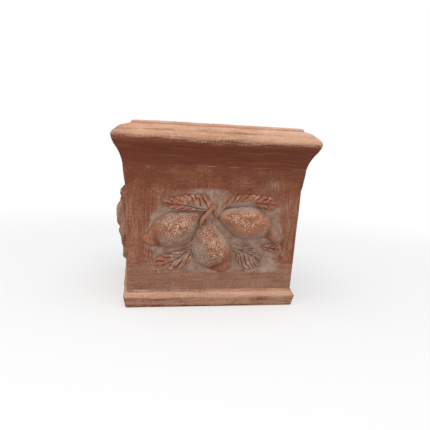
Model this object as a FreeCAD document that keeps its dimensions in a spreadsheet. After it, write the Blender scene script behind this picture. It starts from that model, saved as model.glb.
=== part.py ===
import FreeCAD, Part
import os
import Sketcher

# A square terracotta planter with a moulded rim, a moulded foot and a spray of lemons on each wall.
# Millimetres. +Z is up and the origin is the middle of the face that it rests on.
# Every piece of the front is drawn facing -Y and turned about Z for the other three sides.

VECTOR = FreeCAD.Vector

# Lengths. A width is driven by rim_width and a height by overall_height: what lies inside them is
# given as a step back, down or out from the neighbouring size.
SIZES = {
    # Whole planter
    "overall_height": 360.0,
    "rim_width": 400.0,
    "rim_overhang": 21.4,
    "rim_depth": 82.0,
    "flare_out": 6.0,
    "flare_depth": 42.0,
    "lean_out": 8.6,
    "lip_thickness": 26.6,
    "wall_thickness": 22.0,
    "floor_thickness": 24.0,
    "drain_diameter": 32.0,
    "drain_chamfer": 2.0,
    # Rim moulding: a cove, a round nose, a slope, a ledge and a small bead
    "cove_out": 6.4,
    "cove_rise": 22.0,
    "nose_depth": 32.5,
    "nose_drop": 9.5,
    "nose_back_low": 3.5,
    "nose_rise": 10.5,
    "nose_back_high": 4.0,
    "shoulder_back": 16.5,
    "shoulder_depth": 10.5,
    "ledge_back": 24.5,
    "ledge_depth": 7.0,
    "bead_back": 27.5,
    "bead_height": 6.0,
    "bead_round": 3.0,
    "mouth_round": 2.5,
    # Foot moulding: a ledge, a slope, a round nose and a face that runs back under it
    "foot_height": 36.0,
    "foot_ledge": 1.2,
    "foot_out": 9.0,
    "foot_nose_height": 20.0,
    "foot_nose_round": 4.0,
    "foot_nose_back": 1.0,
    "foot_toe_out": 3.5,
    # Coils pressed into the inner seams
    "coil_leg": 12.0,
    "coil_gap": 0.3,
    # Lemon sprays: the flat panel that they are sized for, the field that they fill in its middle,
    # and each sprig's stem end, across and up from the field's lower left corner
    "panel_width": 345.2,
    "panel_height": 200.0,
    "field_width": 300.0,
    "field_height": 170.0,
    "lemon_left_across": 119.0,
    "lemon_left_up": 116.0,
    "lemon_left_length": 119.0,
    "lemon_left_width": 62.0,
    "lemon_left_rise": 20.5,
    "lemon_left_nipple": 14.0,
    "lemon_right_across": 155.5,
    "lemon_right_up": 110.0,
    "lemon_right_length": 136.0,
    "lemon_right_width": 65.0,
    "lemon_right_rise": 20.5,
    "lemon_right_nipple": 28.0,
    "lemon_low_across": 124.0,
    "lemon_low_up": 93.5,
    "lemon_low_length": 104.0,
    "lemon_low_width": 64.0,
    "lemon_low_rise": 17.0,
    "lemon_low_nipple": 12.0,
    "leaf_top_left_across": 135.5,
    "leaf_top_left_up": 131.0,
    "leaf_top_left_length": 90.0,
    "leaf_top_left_rise": 8.0,
    "leaf_top_right_across": 163.0,
    "leaf_top_right_up": 131.0,
    "leaf_top_right_length": 111.0,
    "leaf_top_right_rise": 9.0,
    "leaf_low_left_across": 105.0,
    "leaf_low_left_up": 47.0,
    "leaf_low_left_length": 79.0,
    "leaf_low_left_rise": 6.0,
    "leaf_low_right_across": 188.0,
    "leaf_low_right_up": 52.0,
    "leaf_low_right_length": 72.0,
    "leaf_low_right_rise": 6.0,
    "leaf_side_right_across": 247.0,
    "leaf_side_right_up": 52.0,
    "leaf_side_right_length": 37.0,
    "leaf_side_right_rise": 6.0,
    "twig_across": 145.0,
    "twig_up": 136.0,
    "twig_width": 7.0,
    "twig_rise": 9.0,
    "twig_length": 38.0,
    "twig_sway": 21.0,
    "twig_branch_length": 21.0,
    "twig_branch_sway": 4.5,
}

# Directions in which the sprigs run from their stem ends, in degrees from the rightward direction
TURNS = {
    "lemon_left_turn": -157.0,
    "lemon_right_turn": -18.0,
    "lemon_low_turn": -63.0,
    "leaf_top_left_turn": 175.0,
    "leaf_top_right_turn": 3.0,
    "leaf_low_left_turn": -156.0,
    "leaf_low_right_turn": -32.0,
    "leaf_side_right_turn": -8.0,
    "twig_turn": -90.0,
}

# Sideways bow of each lemon, as a share of its length
BOW_SHARES = {"lemon_left": 0.084, "lemon_right": 0.074, "lemon_low": -0.029}

# Height of the middle of the spray, between the foot's top and the start of the flare
SPRAY_SHARE = 0.595

# Lemon body: (place along the body, half width, rise) from the stem end to the nipple
LEMON_BODY_SHARES = (
    (0.0, 0.16, 0.22),
    (0.1, 0.48, 0.52),
    (0.24, 0.80, 0.82),
    (0.42, 0.98, 0.98),
    (0.56, 1.0, 1.0),
    (0.72, 0.91, 0.92),
    (0.88, 0.65, 0.70),
    (1.0, 0.42, 0.50),
)

# Lemon nipple: (place along the nipple, half width, rise)
LEMON_NIPPLE_SHARES = (
    (0.45, 0.36, 0.50),
    (0.85, 0.29, 0.42),
    (1.0, 0.15, 0.22),
)

# Leaves: (place along, right edge, midrib, left edge), all as shares of the leaf's length
TOP_LEFT_LEAF_SHARES = (
    (0.0, -0.03, 0.0, 0.03),
    (0.12, -0.14, 0.03, 0.07),
    (0.3, -0.23, 0.04, 0.08),
    (0.5, -0.25, 0.02, 0.09),
    (0.7, -0.20, 0.015, 0.10),
    (0.88, -0.08, 0.015, 0.08),
    (1.0, -0.01, 0.0, 0.015),
)
TOP_RIGHT_LEAF_SHARES = (
    (0.0, -0.01, 0.01, 0.04),
    (0.12, 0.05, 0.09, 0.15),
    (0.3, 0.09, 0.14, 0.20),
    (0.5, 0.08, 0.13, 0.21),
    (0.7, -0.01, 0.09, 0.20),
    (0.88, -0.07, 0.055, 0.16),
    (1.0, -0.03, 0.01, 0.05),
)
LOW_LEFT_LEAF_SHARES = (
    (0.0, -0.05, 0.0, 0.06),
    (0.12, -0.07, 0.0, 0.22),
    (0.3, -0.08, 0.05, 0.36),
    (0.5, -0.11, 0.08, 0.35),
    (0.7, -0.15, 0.08, 0.26),
    (0.88, -0.12, 0.06, 0.17),
    (1.0, -0.02, 0.02, 0.05),
)
LOW_RIGHT_LEAF_SHARES = (
    (0.0, -0.04, 0.0, 0.06),
    (0.12, -0.10, 0.0, 0.14),
    (0.3, -0.19, 0.0, 0.22),
    (0.5, -0.28, 0.0, 0.27),
    (0.7, -0.26, 0.0, 0.29),
    (0.88, -0.15, 0.0, 0.18),
    (1.0, -0.03, 0.0, 0.03),
)
SIDE_RIGHT_LEAF_SHARES = (
    (0.0, -0.05, 0.02, 0.10),
    (0.12, -0.10, 0.02, 0.18),
    (0.3, -0.16, 0.02, 0.23),
    (0.5, -0.18, 0.02, 0.25),
    (0.7, -0.17, 0.02, 0.24),
    (0.88, -0.13, 0.02, 0.17),
    (1.0, -0.05, 0.0, 0.06),
)

# Height of a leaf's midrib at the seven places along it
LEAF_RISE_SHARES = (0.45, 0.75, 0.95, 1.0, 0.95, 0.7, 0.35)

# How far each half of a leaf swells above a straight line from edge to midrib
LEAF_SWELL_SHARE = 0.17

# Twig: (place along, sway to the left, half width, rise)
TWIG_STEM_SHARES = (
    (0.0, 0.0, 0.50, 0.7),
    (0.2, -0.18, 0.52, 0.9),
    (0.45, -0.50, 0.56, 1.0),
    (0.65, -0.80, 0.58, 1.0),
    (0.85, -1.0, 0.52, 0.95),
    (1.0, -1.0, 0.46, 0.8),
)
TWIG_BRANCH_SHARES = (
    (0.1, 0.1, 0.42, 0.7),
    (0.5, 0.4, 0.44, 0.85),
    (1.0, 1.0, 0.38, 0.7),
)

# Hollow of a coil's face, as the place of its middle along the corner's diagonal
COIL_HOLLOW_SHARE = 0.36

# Middle of a quarter-round edge, from the square corner
ROUND_SHARE = 0.29

SIDES = {"front": 0, "right": 90, "back": 180, "left": 270}
CORNERS = {"front_right": 0, "back_right": 90, "back_left": 180, "front_left": 270}

LEMONS = ("lemon_left", "lemon_right", "lemon_low")
LEAVES = {
    "leaf_top_left": TOP_LEFT_LEAF_SHARES,
    "leaf_top_right": TOP_RIGHT_LEAF_SHARES,
    "leaf_low_left": LOW_LEFT_LEAF_SHARES,
    "leaf_low_right": LOW_RIGHT_LEAF_SHARES,
    "leaf_side_right": SIDE_RIGHT_LEAF_SHARES,
}

# Half widths and heights of the body
RIM_HALF = "(sizes.rim_width / 2)"
NECK_HALF = "(" + RIM_HALF + " - sizes.rim_overhang)"
MOUTH_HALF = "(" + NECK_HALF + " - sizes.lip_thickness)"
BELT_HALF = "(" + NECK_HALF + " - sizes.flare_out)"
BASE_HALF = "(" + BELT_HALF + " - sizes.lean_out)"
INSIDE_HALF = "(" + BASE_HALF + " - sizes.wall_thickness)"
FOOT_HALF = "(" + BASE_HALF + " + sizes.foot_out)"
NECK_HEIGHT = "(sizes.overall_height - sizes.rim_depth)"
FLARE_HEIGHT = "(" + NECK_HEIGHT + " - sizes.flare_depth)"
SPRAY_HEIGHT = "(sizes.foot_height + (" + FLARE_HEIGHT + " - sizes.foot_height) * " + str(SPRAY_SHARE) + ")"
NOSE_HEIGHT = "(sizes.overall_height - sizes.nose_depth)"
DRAIN_RADIUS = "(sizes.drain_diameter / 2)"

# The spray grows and shrinks with the room on its wall's flat panel. Its scale is the cube root of
# the harmonic mean of the cubes of the room up and across, which stays near the smaller of the two.
ROOM_UP = "(" + FLARE_HEIGHT + " - sizes.foot_height) / sizes.panel_height"
ROOM_ACROSS = "2 * " + BELT_HALF + " / sizes.panel_width"
TIGHTNESS = "(pow(" + ROOM_UP + "; -3) + pow(" + ROOM_ACROSS + "; -3)) / 2"
SPRAY_SCALE = "pow(" + TIGHTNESS + "; -1 / 3)"

# Lean of the flat outer face of a wall
LEAN = "atan(sizes.lean_out / " + FLARE_HEIGHT + ")"


def outer_half(height):
    return "(" + BASE_HALF + " + sizes.lean_out / " + FLARE_HEIGHT + " * (" + height + "))"


def inner_half(height):
    rise = "(" + MOUTH_HALF + " - " + INSIDE_HALF + ") / " + NECK_HEIGHT
    return "(" + INSIDE_HALF + " + " + rise + " * (" + height + "))"


def fill_sheet(doc):
    sheet = doc.addObject("Spreadsheet::Sheet", "sizes")
    for row, (name, value) in enumerate({**SIZES, **TURNS}.items(), 1):
        sheet.set("A" + str(row), name)
        sheet.set("B" + str(row), str(value))
        sheet.setAlias("B" + str(row), name)
    doc.recompute()
    return sheet


def new_body(doc, label):
    body = doc.addObject("PartDesign::Body", "body_" + label)
    body.Label = label
    return body


def origin_plane(body, role):
    for feature in body.Origin.OriginFeatures:
        if feature.Role == role:
            return feature
    raise ValueError("no plane " + role)


def new_sketch(body, name, role, offset=None):
    sketch = body.newObject("Sketcher::SketchObject", name)
    sketch.AttachmentSupport = (origin_plane(body, role), "")
    sketch.MapMode = "FlatFace"
    if offset:
        sketch.setExpression("AttachmentOffset.Base.z", offset)
    return sketch


def read(sketch, expression):
    value = sketch.evalExpression(expression)
    return float(getattr(value, "Value", value))


def fix_point(sketch, edge, end, point):
    for kind, expression in zip(("DistanceX", "DistanceY"), point):
        value = read(sketch, expression)
        index = sketch.addConstraint(Sketcher.Constraint(kind, -1, 1, edge, end, value))
        sketch.setExpression("Constraints[" + str(index) + "]", expression)


# A closed outline. Each step is (corner, middle): the edge that leaves the corner is straight
# where the middle is None, and an arc through the middle otherwise.
def draw_outline(sketch, steps):
    spots = [VECTOR(read(sketch, step[0][0]), read(sketch, step[0][1]), 0) for step in steps]
    ends = []
    for index, (corner, middle) in enumerate(steps):
        start = spots[index]
        finish = spots[(index + 1) % len(steps)]
        if middle is None:
            edge = sketch.addGeometry(Part.LineSegment(start, finish))
        else:
            top = VECTOR(read(sketch, middle[0]), read(sketch, middle[1]), 0)
            edge = sketch.addGeometry(Part.Arc(start, top, finish))
        first = 1
        ends_back = sketch.getPoint(edge, 2)
        if ends_back.distanceToPoint(start) < sketch.getPoint(edge, 1).distanceToPoint(start):
            first = 2
        ends.append((edge, first))
    for index, (edge, first) in enumerate(ends):
        after, after_first = ends[(index + 1) % len(ends)]
        sketch.addConstraint(Sketcher.Constraint("Coincident", edge, 3 - first, after, after_first))
    for (edge, first), (corner, middle) in zip(ends, steps):
        fix_point(sketch, edge, first, corner)
        if middle is not None:
            top = VECTOR(read(sketch, middle[0]), read(sketch, middle[1]), 0)
            mark = sketch.addGeometry(Part.Point(top), True)
            sketch.addConstraint(Sketcher.Constraint("PointOnObject", mark, 1, edge))
            fix_point(sketch, mark, 1, middle)


def pad_both_ways(body, sketch, name, length):
    pad = body.newObject("PartDesign::Pad", name)
    pad.Profile = sketch
    pad.SideType = "Symmetric"
    pad.setExpression("Length", length)
    return pad


def loft(body, sketches, name):
    solid = body.newObject("PartDesign::AdditiveLoft", name)
    solid.Profile = sketches[0]
    solid.Sections = sketches[1:]
    return solid


def turned(turn):
    return "placement(vector(0; 0; 0); rotation(vector(0; 0; 1); " + str(turn) + "))"


# Place of a sprig: its flat back on the wall's outer face and its stem end at its own spot
def place_sprig(body, name, turn):
    spot = "sizes." + name
    across = SPRAY_SCALE + " * (" + spot + "_across - sizes.field_width / 2)"
    up = SPRAY_SCALE + " * (" + spot + "_up - sizes.field_height / 2)"
    wall = "placement(vector(0; -" + outer_half(SPRAY_HEIGHT) + "; " + SPRAY_HEIGHT + ");"
    wall += " rotation(vector(1; 0; 0); 90 deg + " + LEAN + "))"
    sprig = "placement(vector(" + across + "; " + up + "; 0);"
    sprig += " rotation(vector(0; 0; 1); " + spot + "_turn))"
    body.setExpression("Placement", turned(turn) + " * " + wall + " * " + sprig)


# Mitre: everything outside the quarter that faces -Y is cut away through the full height.
def cut_mitre(body):
    far = "sizes.rim_width"
    corners = (
        (("0", "0"), (far, "-" + far), (far, "0")),
        (("0", "0"), ("-" + far, "0"), ("-" + far, "-" + far)),
    )
    for name, points in zip(("mitre_right", "mitre_left"), corners):
        sketch = new_sketch(body, name + "_outline", "XY_Plane")
        draw_outline(sketch, [(point, None) for point in points])
        pocket = body.newObject("PartDesign::Pocket", name)
        pocket.Profile = sketch
        pocket.Type = "ThroughAll"
        pocket.SideType = "Symmetric"


# A length of moulding or wall with mitred ends, from a section of (half width, height) steps
def mitred_length(doc, label, turn, section):
    body = new_body(doc, label)
    sketch = new_sketch(body, "section", "YZ_Plane")
    steps = []
    for corner, middle in section:
        point = ("-(" + corner[0] + ")", corner[1])
        top = None if middle is None else ("-(" + middle[0] + ")", middle[1])
        steps.append((point, top))
    draw_outline(sketch, steps)
    pad_both_ways(body, sketch, "run", "2 * sizes.rim_width")
    cut_mitre(body)
    body.setExpression("Placement", turned(turn))
    return body


def wall(doc, side, turn):
    section = (
        ((BASE_HALF, "0"), None),
        ((BELT_HALF, FLARE_HEIGHT), None),
        ((NECK_HALF, NECK_HEIGHT), None),
        ((MOUTH_HALF, NECK_HEIGHT), None),
        ((INSIDE_HALF, "0"), None),
    )
    return mitred_length(doc, "wall_" + side, turn, section)


def rim(doc, side, turn):
    top = "sizes.overall_height"
    bead = RIM_HALF + " - sizes.bead_back"
    in_bead = "sizes.bead_round * " + str(ROUND_SHARE)
    in_mouth = "sizes.mouth_round * " + str(ROUND_SHARE)
    cove = (NECK_HALF + " + sizes.cove_out", NECK_HEIGHT + " + sizes.cove_rise")
    nose = (RIM_HALF, NOSE_HEIGHT)
    mouth = (MOUTH_HALF + " + " + in_mouth, top + " - " + in_mouth)
    section = (
        ((NECK_HALF, NECK_HEIGHT), cove),
        ((RIM_HALF + " - sizes.nose_back_low", NOSE_HEIGHT + " - sizes.nose_drop"), nose),
        ((RIM_HALF + " - sizes.nose_back_high", NOSE_HEIGHT + " + sizes.nose_rise"), None),
        ((RIM_HALF + " - sizes.shoulder_back", top + " - sizes.shoulder_depth"), None),
        ((RIM_HALF + " - sizes.ledge_back", top + " - sizes.ledge_depth"), None),
        ((bead, top + " - sizes.bead_height"), None),
        ((bead, top + " - sizes.bead_round"), (bead + " - " + in_bead, top + " - " + in_bead)),
        ((bead + " - sizes.bead_round", top), None),
        ((MOUTH_HALF + " + sizes.mouth_round", top), mouth),
        ((MOUTH_HALF, top + " - sizes.mouth_round"), None),
        ((MOUTH_HALF, NECK_HEIGHT), None),
    )
    return mitred_length(doc, "rim_" + side, turn, section)


def foot(doc, side, turn):
    seat = outer_half("sizes.foot_height")
    brow = (FOOT_HALF + " - sizes.foot_nose_back", "sizes.foot_nose_height + sizes.foot_nose_round")
    chin = (FOOT_HALF + " - sizes.foot_nose_back", "sizes.foot_nose_height - sizes.foot_nose_round")
    section = (
        ((BASE_HALF, "0"), None),
        ((seat, "sizes.foot_height"), None),
        ((seat + " + sizes.foot_ledge", "sizes.foot_height"), None),
        (brow, (FOOT_HALF, "sizes.foot_nose_height")),
        (chin, None),
        ((BASE_HALF + " + sizes.foot_toe_out", "0"), None),
    )
    return mitred_length(doc, "foot_" + side, turn, section)


def square_steps(reach):
    return [
        ((reach, reach), None),
        (("-" + reach, reach), None),
        (("-" + reach, "-" + reach), None),
        ((reach, "-" + reach), None),
    ]


def drain_circle(body, name, radius, offset):
    sketch = new_sketch(body, name, "XY_Plane", offset)
    edge = sketch.addGeometry(Part.Circle(VECTOR(0, 0, 0), VECTOR(0, 0, 1), read(sketch, radius)))
    sketch.addConstraint(Sketcher.Constraint("Coincident", edge, 3, -1, 1))
    index = sketch.addConstraint(Sketcher.Constraint("Radius", edge, read(sketch, radius)))
    sketch.setExpression("Constraints[" + str(index) + "]", radius)
    return sketch


# Floor slab between the walls: its sides lean out with them, and a drain hole goes through its middle.
def floor_slab(doc):
    body = new_body(doc, "floor_slab")
    sketches = []
    for name, height in (("underside", "0"), ("topside", "sizes.floor_thickness")):
        sketch = new_sketch(body, name, "XY_Plane", height)
        draw_outline(sketch, square_steps(inner_half(height)))
        sketches.append(sketch)
    slab = loft(body, sketches, "slab")
    slab.Ruled = True
    hole = body.newObject("PartDesign::Pocket", "drain")
    hole.Profile = drain_circle(body, "drain_outline", DRAIN_RADIUS, "0")
    hole.Type = "ThroughAll"
    hole.SideType = "Symmetric"
    mouths = []
    wide = DRAIN_RADIUS + " + sizes.drain_chamfer"
    low = "sizes.floor_thickness - sizes.drain_chamfer"
    top = "sizes.floor_thickness"
    for name, radius, height in (("drain_lip", DRAIN_RADIUS, low), ("drain_mouth", wide, top)):
        mouths.append(drain_circle(body, name, radius, height))
    bevel = body.newObject("PartDesign::SubtractiveLoft", "drain_bevel")
    bevel.Profile = mouths[0]
    bevel.Sections = mouths[1:]
    return body


# Coil along the upright inner seam between two walls, from the floor to the neck
def corner_coil(doc, corner, turn):
    body = new_body(doc, "corner_coil_" + corner)
    sketches = []
    hollow = "sizes.coil_leg * " + str(COIL_HOLLOW_SHARE)
    for name, height in (("lower_end", "sizes.floor_thickness"), ("upper_end", NECK_HEIGHT)):
        sketch = new_sketch(body, name, "XY_Plane", height)
        reach = inner_half(height)
        middle = (reach + " - " + hollow, "-(" + reach + " - " + hollow + ")")
        steps = [
            ((reach, "-" + reach), None),
            ((reach, "-(" + reach + " - sizes.coil_leg)"), middle),
            ((reach + " - sizes.coil_leg", "-" + reach), None),
        ]
        draw_outline(sketch, steps)
        sketches.append(sketch)
    coil = loft(body, sketches, "coil")
    coil.Ruled = True
    body.setExpression("Placement", turned(turn))
    return body


# Coil along the seam between the floor and a wall, between two corner coils
def floor_coil(doc, side, turn):
    body = new_body(doc, "floor_coil_" + side)
    sketch = new_sketch(body, "section", "YZ_Plane")
    low = "sizes.floor_thickness"
    high = "sizes.floor_thickness + sizes.coil_leg"
    hollow = "sizes.coil_leg * " + str(COIL_HOLLOW_SHARE)
    middle = ("-(" + inner_half(low) + " - " + hollow + ")", low + " + " + hollow)
    steps = [
        (("-" + inner_half(low), low), None),
        (("-" + inner_half(high), high), middle),
        (("-(" + inner_half(low) + " - sizes.coil_leg)", low), None),
    ]
    draw_outline(sketch, steps)
    run = "2 * (" + inner_half(low) + " - sizes.coil_leg - sizes.coil_gap)"
    pad_both_ways(body, sketch, "coil", run)
    body.setExpression("Placement", turned(turn))
    return body


def sprig_size(name):
    return "(" + SPRAY_SCALE + " * sizes." + name + ")"


# Section of a lemon or a twig: flat on the wall and round outward
def round_section(body, name, along, sway, half_width, rise):
    sketch = new_sketch(body, name, "YZ_Plane", along)
    left = "(" + sway + ") + " + half_width
    right = "(" + sway + ") - " + half_width
    steps = [((left, "0"), (sway, rise)), ((right, "0"), None)]
    draw_outline(sketch, steps)
    return sketch


def lemon(doc, side, turn, name):
    body = new_body(doc, side + "_" + name)
    length = sprig_size(name + "_length")
    nipple = sprig_size(name + "_nipple")
    trunk = "(" + length + " - " + nipple + ")"
    rows = []
    for along, wide, high in LEMON_BODY_SHARES:
        rows.append((trunk + " * " + str(along), wide, high))
    for along, wide, high in LEMON_NIPPLE_SHARES:
        rows.append((trunk + " + " + nipple + " * " + str(along), wide, high))
    sketches = []
    for index, (along, wide, high) in enumerate(rows):
        part = "(" + along + ") / " + length
        sway = length + " * " + str(BOW_SHARES[name]) + " * 4 * " + part + " * (1 - " + part + ")"
        half_width = sprig_size(name + "_width") + " / 2 * " + str(wide)
        rise = sprig_size(name + "_rise") + " * " + str(high)
        sketches.append(round_section(body, "ring_" + str(index), along, sway, half_width, rise))
    loft(body, sketches, "fruit")
    place_sprig(body, name, turn)
    return body


def leaf(doc, side, turn, name, shares):
    body = new_body(doc, side + "_" + name)
    long = sprig_size(name + "_length") + " * "
    sketches = []
    for index, (along, right, rib, left) in enumerate(shares):
        sketch = new_sketch(body, "rib_" + str(index), "YZ_Plane", long + str(along))
        height = sprig_size(name + "_rise") + " * " + str(LEAF_RISE_SHARES[index])
        right_swell = long + str(round((rib - right) * LEAF_SWELL_SHARE, 4))
        left_swell = long + str(round((left - rib) * LEAF_SWELL_SHARE, 4))
        right_middle = (long + str((right + rib) / 2), height + " / 2 + " + right_swell)
        left_middle = (long + str((left + rib) / 2), height + " / 2 + " + left_swell)
        steps = [
            ((long + str(left), "0"), left_middle),
            ((long + str(rib), height), right_middle),
            ((long + str(right), "0"), None),
        ]
        draw_outline(sketch, steps)
        sketches.append(sketch)
    loft(body, sketches, "blade")
    place_sprig(body, name, turn)
    return body


def twig(doc, side, turn):
    body = new_body(doc, side + "_twig")
    runs = (
        ("stem", "twig", TWIG_STEM_SHARES),
        ("branch", "twig_branch", TWIG_BRANCH_SHARES),
    )
    for name, run, shares in runs:
        length = sprig_size(run + "_length")
        sway = sprig_size(run + "_sway")
        sketches = []
        for index, (along, aside, wide, high) in enumerate(shares):
            ring = name + "_ring_" + str(index)
            station = length + " * " + str(along)
            offset = sway + " * " + str(aside)
            half_width = sprig_size("twig_width") + " * " + str(wide)
            rise = sprig_size("twig_rise") + " * " + str(high)
            sketches.append(round_section(body, ring, station, offset, half_width, rise))
        loft(body, sketches, name)
    place_sprig(body, "twig", turn)
    return body


def build(doc):
    pieces = [floor_slab(doc)]
    for side, turn in SIDES.items():
        pieces.append(wall(doc, side, turn))
        pieces.append(rim(doc, side, turn))
        pieces.append(foot(doc, side, turn))
        pieces.append(floor_coil(doc, side, turn))
        for name in LEMONS:
            pieces.append(lemon(doc, side, turn, name))
        for name, shares in LEAVES.items():
            pieces.append(leaf(doc, side, turn, name, shares))
        pieces.append(twig(doc, side, turn))
    for corner, turn in CORNERS.items():
        pieces.append(corner_coil(doc, corner, turn))
    return pieces


def check(doc, pieces):
    for item in doc.Objects:
        if "Invalid" in item.State or "Error" in item.State:
            raise ValueError(item.Label + " did not build: " + str(item.State))
    for piece in pieces:
        if piece.Shape.isNull() or not piece.Shape.isValid() or len(piece.Shape.Solids) != 1:
            raise ValueError(piece.Label + " is not one valid solid")


def export(pieces):
    os.makedirs("parts", exist_ok=True)
    for piece in pieces:
        piece.Shape.exportStep("parts/" + piece.Label + ".step")


planter = FreeCAD.newDocument("planter")
fill_sheet(planter)
planter_pieces = build(planter)
planter.recompute()
check(planter, planter_pieces)
export(planter_pieces)
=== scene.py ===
"""Looks of a square terracotta planter: clay walls, mouldings, lemon sprays, inside and studio.

+Z is up, the origin is in the middle of the face that the planter rests on, and the front is at -Y.
The shapes are worked out in millimetres and go into the meshes in metres. The shader trees, the
camera and the lamps are in metres.
"""

import logging
import math
from collections.abc import Callable
from dataclasses import dataclass, field
from enum import Enum
from functools import cached_property

import bpy
import numpy as np
from mathutils import Matrix


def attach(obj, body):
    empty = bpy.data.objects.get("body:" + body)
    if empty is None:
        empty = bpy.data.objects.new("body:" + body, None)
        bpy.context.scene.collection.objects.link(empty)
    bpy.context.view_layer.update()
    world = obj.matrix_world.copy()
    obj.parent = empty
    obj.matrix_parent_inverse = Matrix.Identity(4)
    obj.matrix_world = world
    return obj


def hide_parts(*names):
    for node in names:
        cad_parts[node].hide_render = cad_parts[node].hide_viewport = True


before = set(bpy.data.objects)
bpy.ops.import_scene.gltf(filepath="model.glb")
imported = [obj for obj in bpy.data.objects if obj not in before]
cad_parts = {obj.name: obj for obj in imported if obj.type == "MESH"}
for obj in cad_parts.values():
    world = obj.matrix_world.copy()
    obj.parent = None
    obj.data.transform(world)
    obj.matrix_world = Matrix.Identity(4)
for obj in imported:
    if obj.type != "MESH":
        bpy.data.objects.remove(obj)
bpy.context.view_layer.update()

MM = 0.001
TINY = 1e-12
BODY = "root"

LOG = logging.getLogger("planter")
logging.basicConfig(level=logging.INFO, format="%(name)s: %(message)s")

Array = np.ndarray
Triple = tuple[float, float, float]
Material = bpy.types.Material


class Quarter(Enum):
    """A place that comes four times round the planter, with its number of quarter turns."""

    @property
    def label(self) -> str:
        """Words for it in the names of nodes."""
        return self.name.lower()

    @property
    def turn(self) -> float:
        """Turn about Z in radians."""
        return self.value * math.pi / 2.0


class Side(Quarter):
    """One of the four sides, counted from the front."""

    FRONT = 0
    RIGHT = 1
    BACK = 2
    LEFT = 3


class Corner(Quarter):
    """One of the four inner corners, counted from the front right one."""

    FRONT_RIGHT = 0
    BACK_RIGHT = 1
    BACK_LEFT = 2
    FRONT_LEFT = 3


@dataclass(frozen=True)
class PlanterSizes:
    """Half widths and heights that the pieces share, in mm."""

    base_half: float = 164.0
    belt_half: float = 172.6
    belt_height: float = 236.0
    neck_height: float = 278.0
    mouth_half: float = 152.0
    inside_half: float = 142.0
    floor_thickness: float = 24.0
    spray_height: float = 155.0

    @property
    def lean(self) -> float:
        """Lean of the outer face of a wall, in radians."""
        return math.atan((self.belt_half - self.base_half) / self.belt_height)

    @property
    def spray_depth(self) -> float:
        """Half width of the outer face at the middle of the spray."""
        return self.base_half + (self.belt_half - self.base_half) * self.spray_height / self.belt_height

    def inner_half(self, height: Array | float) -> Array | float:
        """Half width of the inner face at a height."""
        return self.inside_half + (self.mouth_half - self.inside_half) * height / self.neck_height


SIZES = PlanterSizes()


# Shapes as arrays


def noise(points: Array, cell: float, seed: int) -> Array:
    """Smooth noise from -1 to 1 at points in space.

    Random values stand on a cubic lattice. A point's value is the mix of the eight corners round it,
    weighted by f * f * (3 - 2 * f) of its place f in the cube.

    Args:
        points: Places, shape (..., 3).
        cell: Side of a lattice cube.
        seed: Picks the random values.

    Returns:
        One value a point, shape (...).
    """
    period = 37
    table = np.random.default_rng(seed).uniform(-1.0, 1.0, (period, period, period))
    scaled = points / cell
    low = np.floor(scaled).astype(int)
    share = scaled - low
    share = share * share * (3.0 - 2.0 * share)
    total = np.zeros(points.shape[:-1])
    for step in np.ndindex(2, 2, 2):
        weight = np.prod(np.where(np.array(step) == 1, share, 1.0 - share), axis=-1)
        index = (low + step) % period
        total += weight * table[index[..., 0], index[..., 1], index[..., 2]]
    return total


def hand_wobble(points: Array) -> Array:
    """Unevenness left by hands in the clay: three sizes of noise added up."""
    return 0.70 * noise(points, 62.0, 3) + 0.34 * noise(points, 19.0, 4) + 0.13 * noise(points, 6.5, 5)


def pebbles(flat: Array, cell: float, seed: int) -> tuple[Array, Array]:
    """Grains strewn over a flat map: one jittered point in each square of a lattice.

    With d1 and d2 the distances to the nearest and next nearest point in cells, a grain's height is
    1 - (d1 / 0.75) squared, and the crack between grains is where d2 - d1 is near zero.

    Args:
        flat: Places on the map, shape (..., 2).
        cell: Size of a grain.
        seed: Picks the jitter.

    Returns:
        Height of the grains from 0 to 1, and closeness of a crack from 0 to 1.
    """
    period = 64
    jitter = np.random.default_rng(seed).uniform(0.15, 0.85, (period, period, 2))
    scaled = flat / cell
    low = np.floor(scaled).astype(int)
    nearest = second = np.full(flat.shape[:-1], 9.0)
    for step in np.ndindex(3, 3):
        square = low + step - 1
        spot = square + jitter[square[..., 0] % period, square[..., 1] % period]
        distance = np.linalg.norm(spot - scaled, axis=-1)
        second = np.minimum(second, np.maximum(nearest, distance))
        nearest = np.minimum(nearest, distance)
    crack = np.clip(1.0 - (second - nearest) / 0.28, 0.0, 1.0)
    return np.clip(1.0 - (nearest / 0.75) ** 2, 0.0, 1.0), crack


def smooth_curve(places: Array, values: Array, where: Array) -> Array:
    """Cubic curve through values at places, with slopes from each value's two neighbours.

    Args:
        places: Increasing places of the values.
        values: Values, one a place.
        where: Places to read the curve at.

    Returns:
        The curve's values there.
    """
    slopes = np.gradient(values, places)
    step = np.clip(np.searchsorted(places, where, side="right") - 1, 0, len(places) - 2)
    width = places[step + 1] - places[step]
    t = np.clip((where - places[step]) / width, 0.0, 1.0)
    start = (1 + 2 * t) * (1 - t) ** 2 * values[step] + t * (1 - t) ** 2 * width * slopes[step]
    finish = t * t * (3 - 2 * t) * values[step + 1] - t * t * (1 - t) * width * slopes[step + 1]
    return start + finish


def ramp(low: float, high: float, value: Array) -> Array:
    """Zero up to low, one past high, and t * t * (3 - 2 * t) between; low may be the larger."""
    t = np.clip((value - low) / (high - low), 0.0, 1.0)
    return t * t * (3.0 - 2.0 * t)


def bell(value: Array, middle: float, width: float) -> Array:
    """One at the middle, and e to minus the square of (value - middle) / width away from it."""
    return np.exp(-(((value - middle) / width) ** 2))


def turned(points: Array, turn: float) -> Array:
    """Points turned about Z by an angle in radians."""
    c, s = math.cos(turn), math.sin(turn)
    return points @ np.array([[c, s, 0.0], [-s, c, 0.0], [0.0, 0.0, 1.0]])


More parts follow.
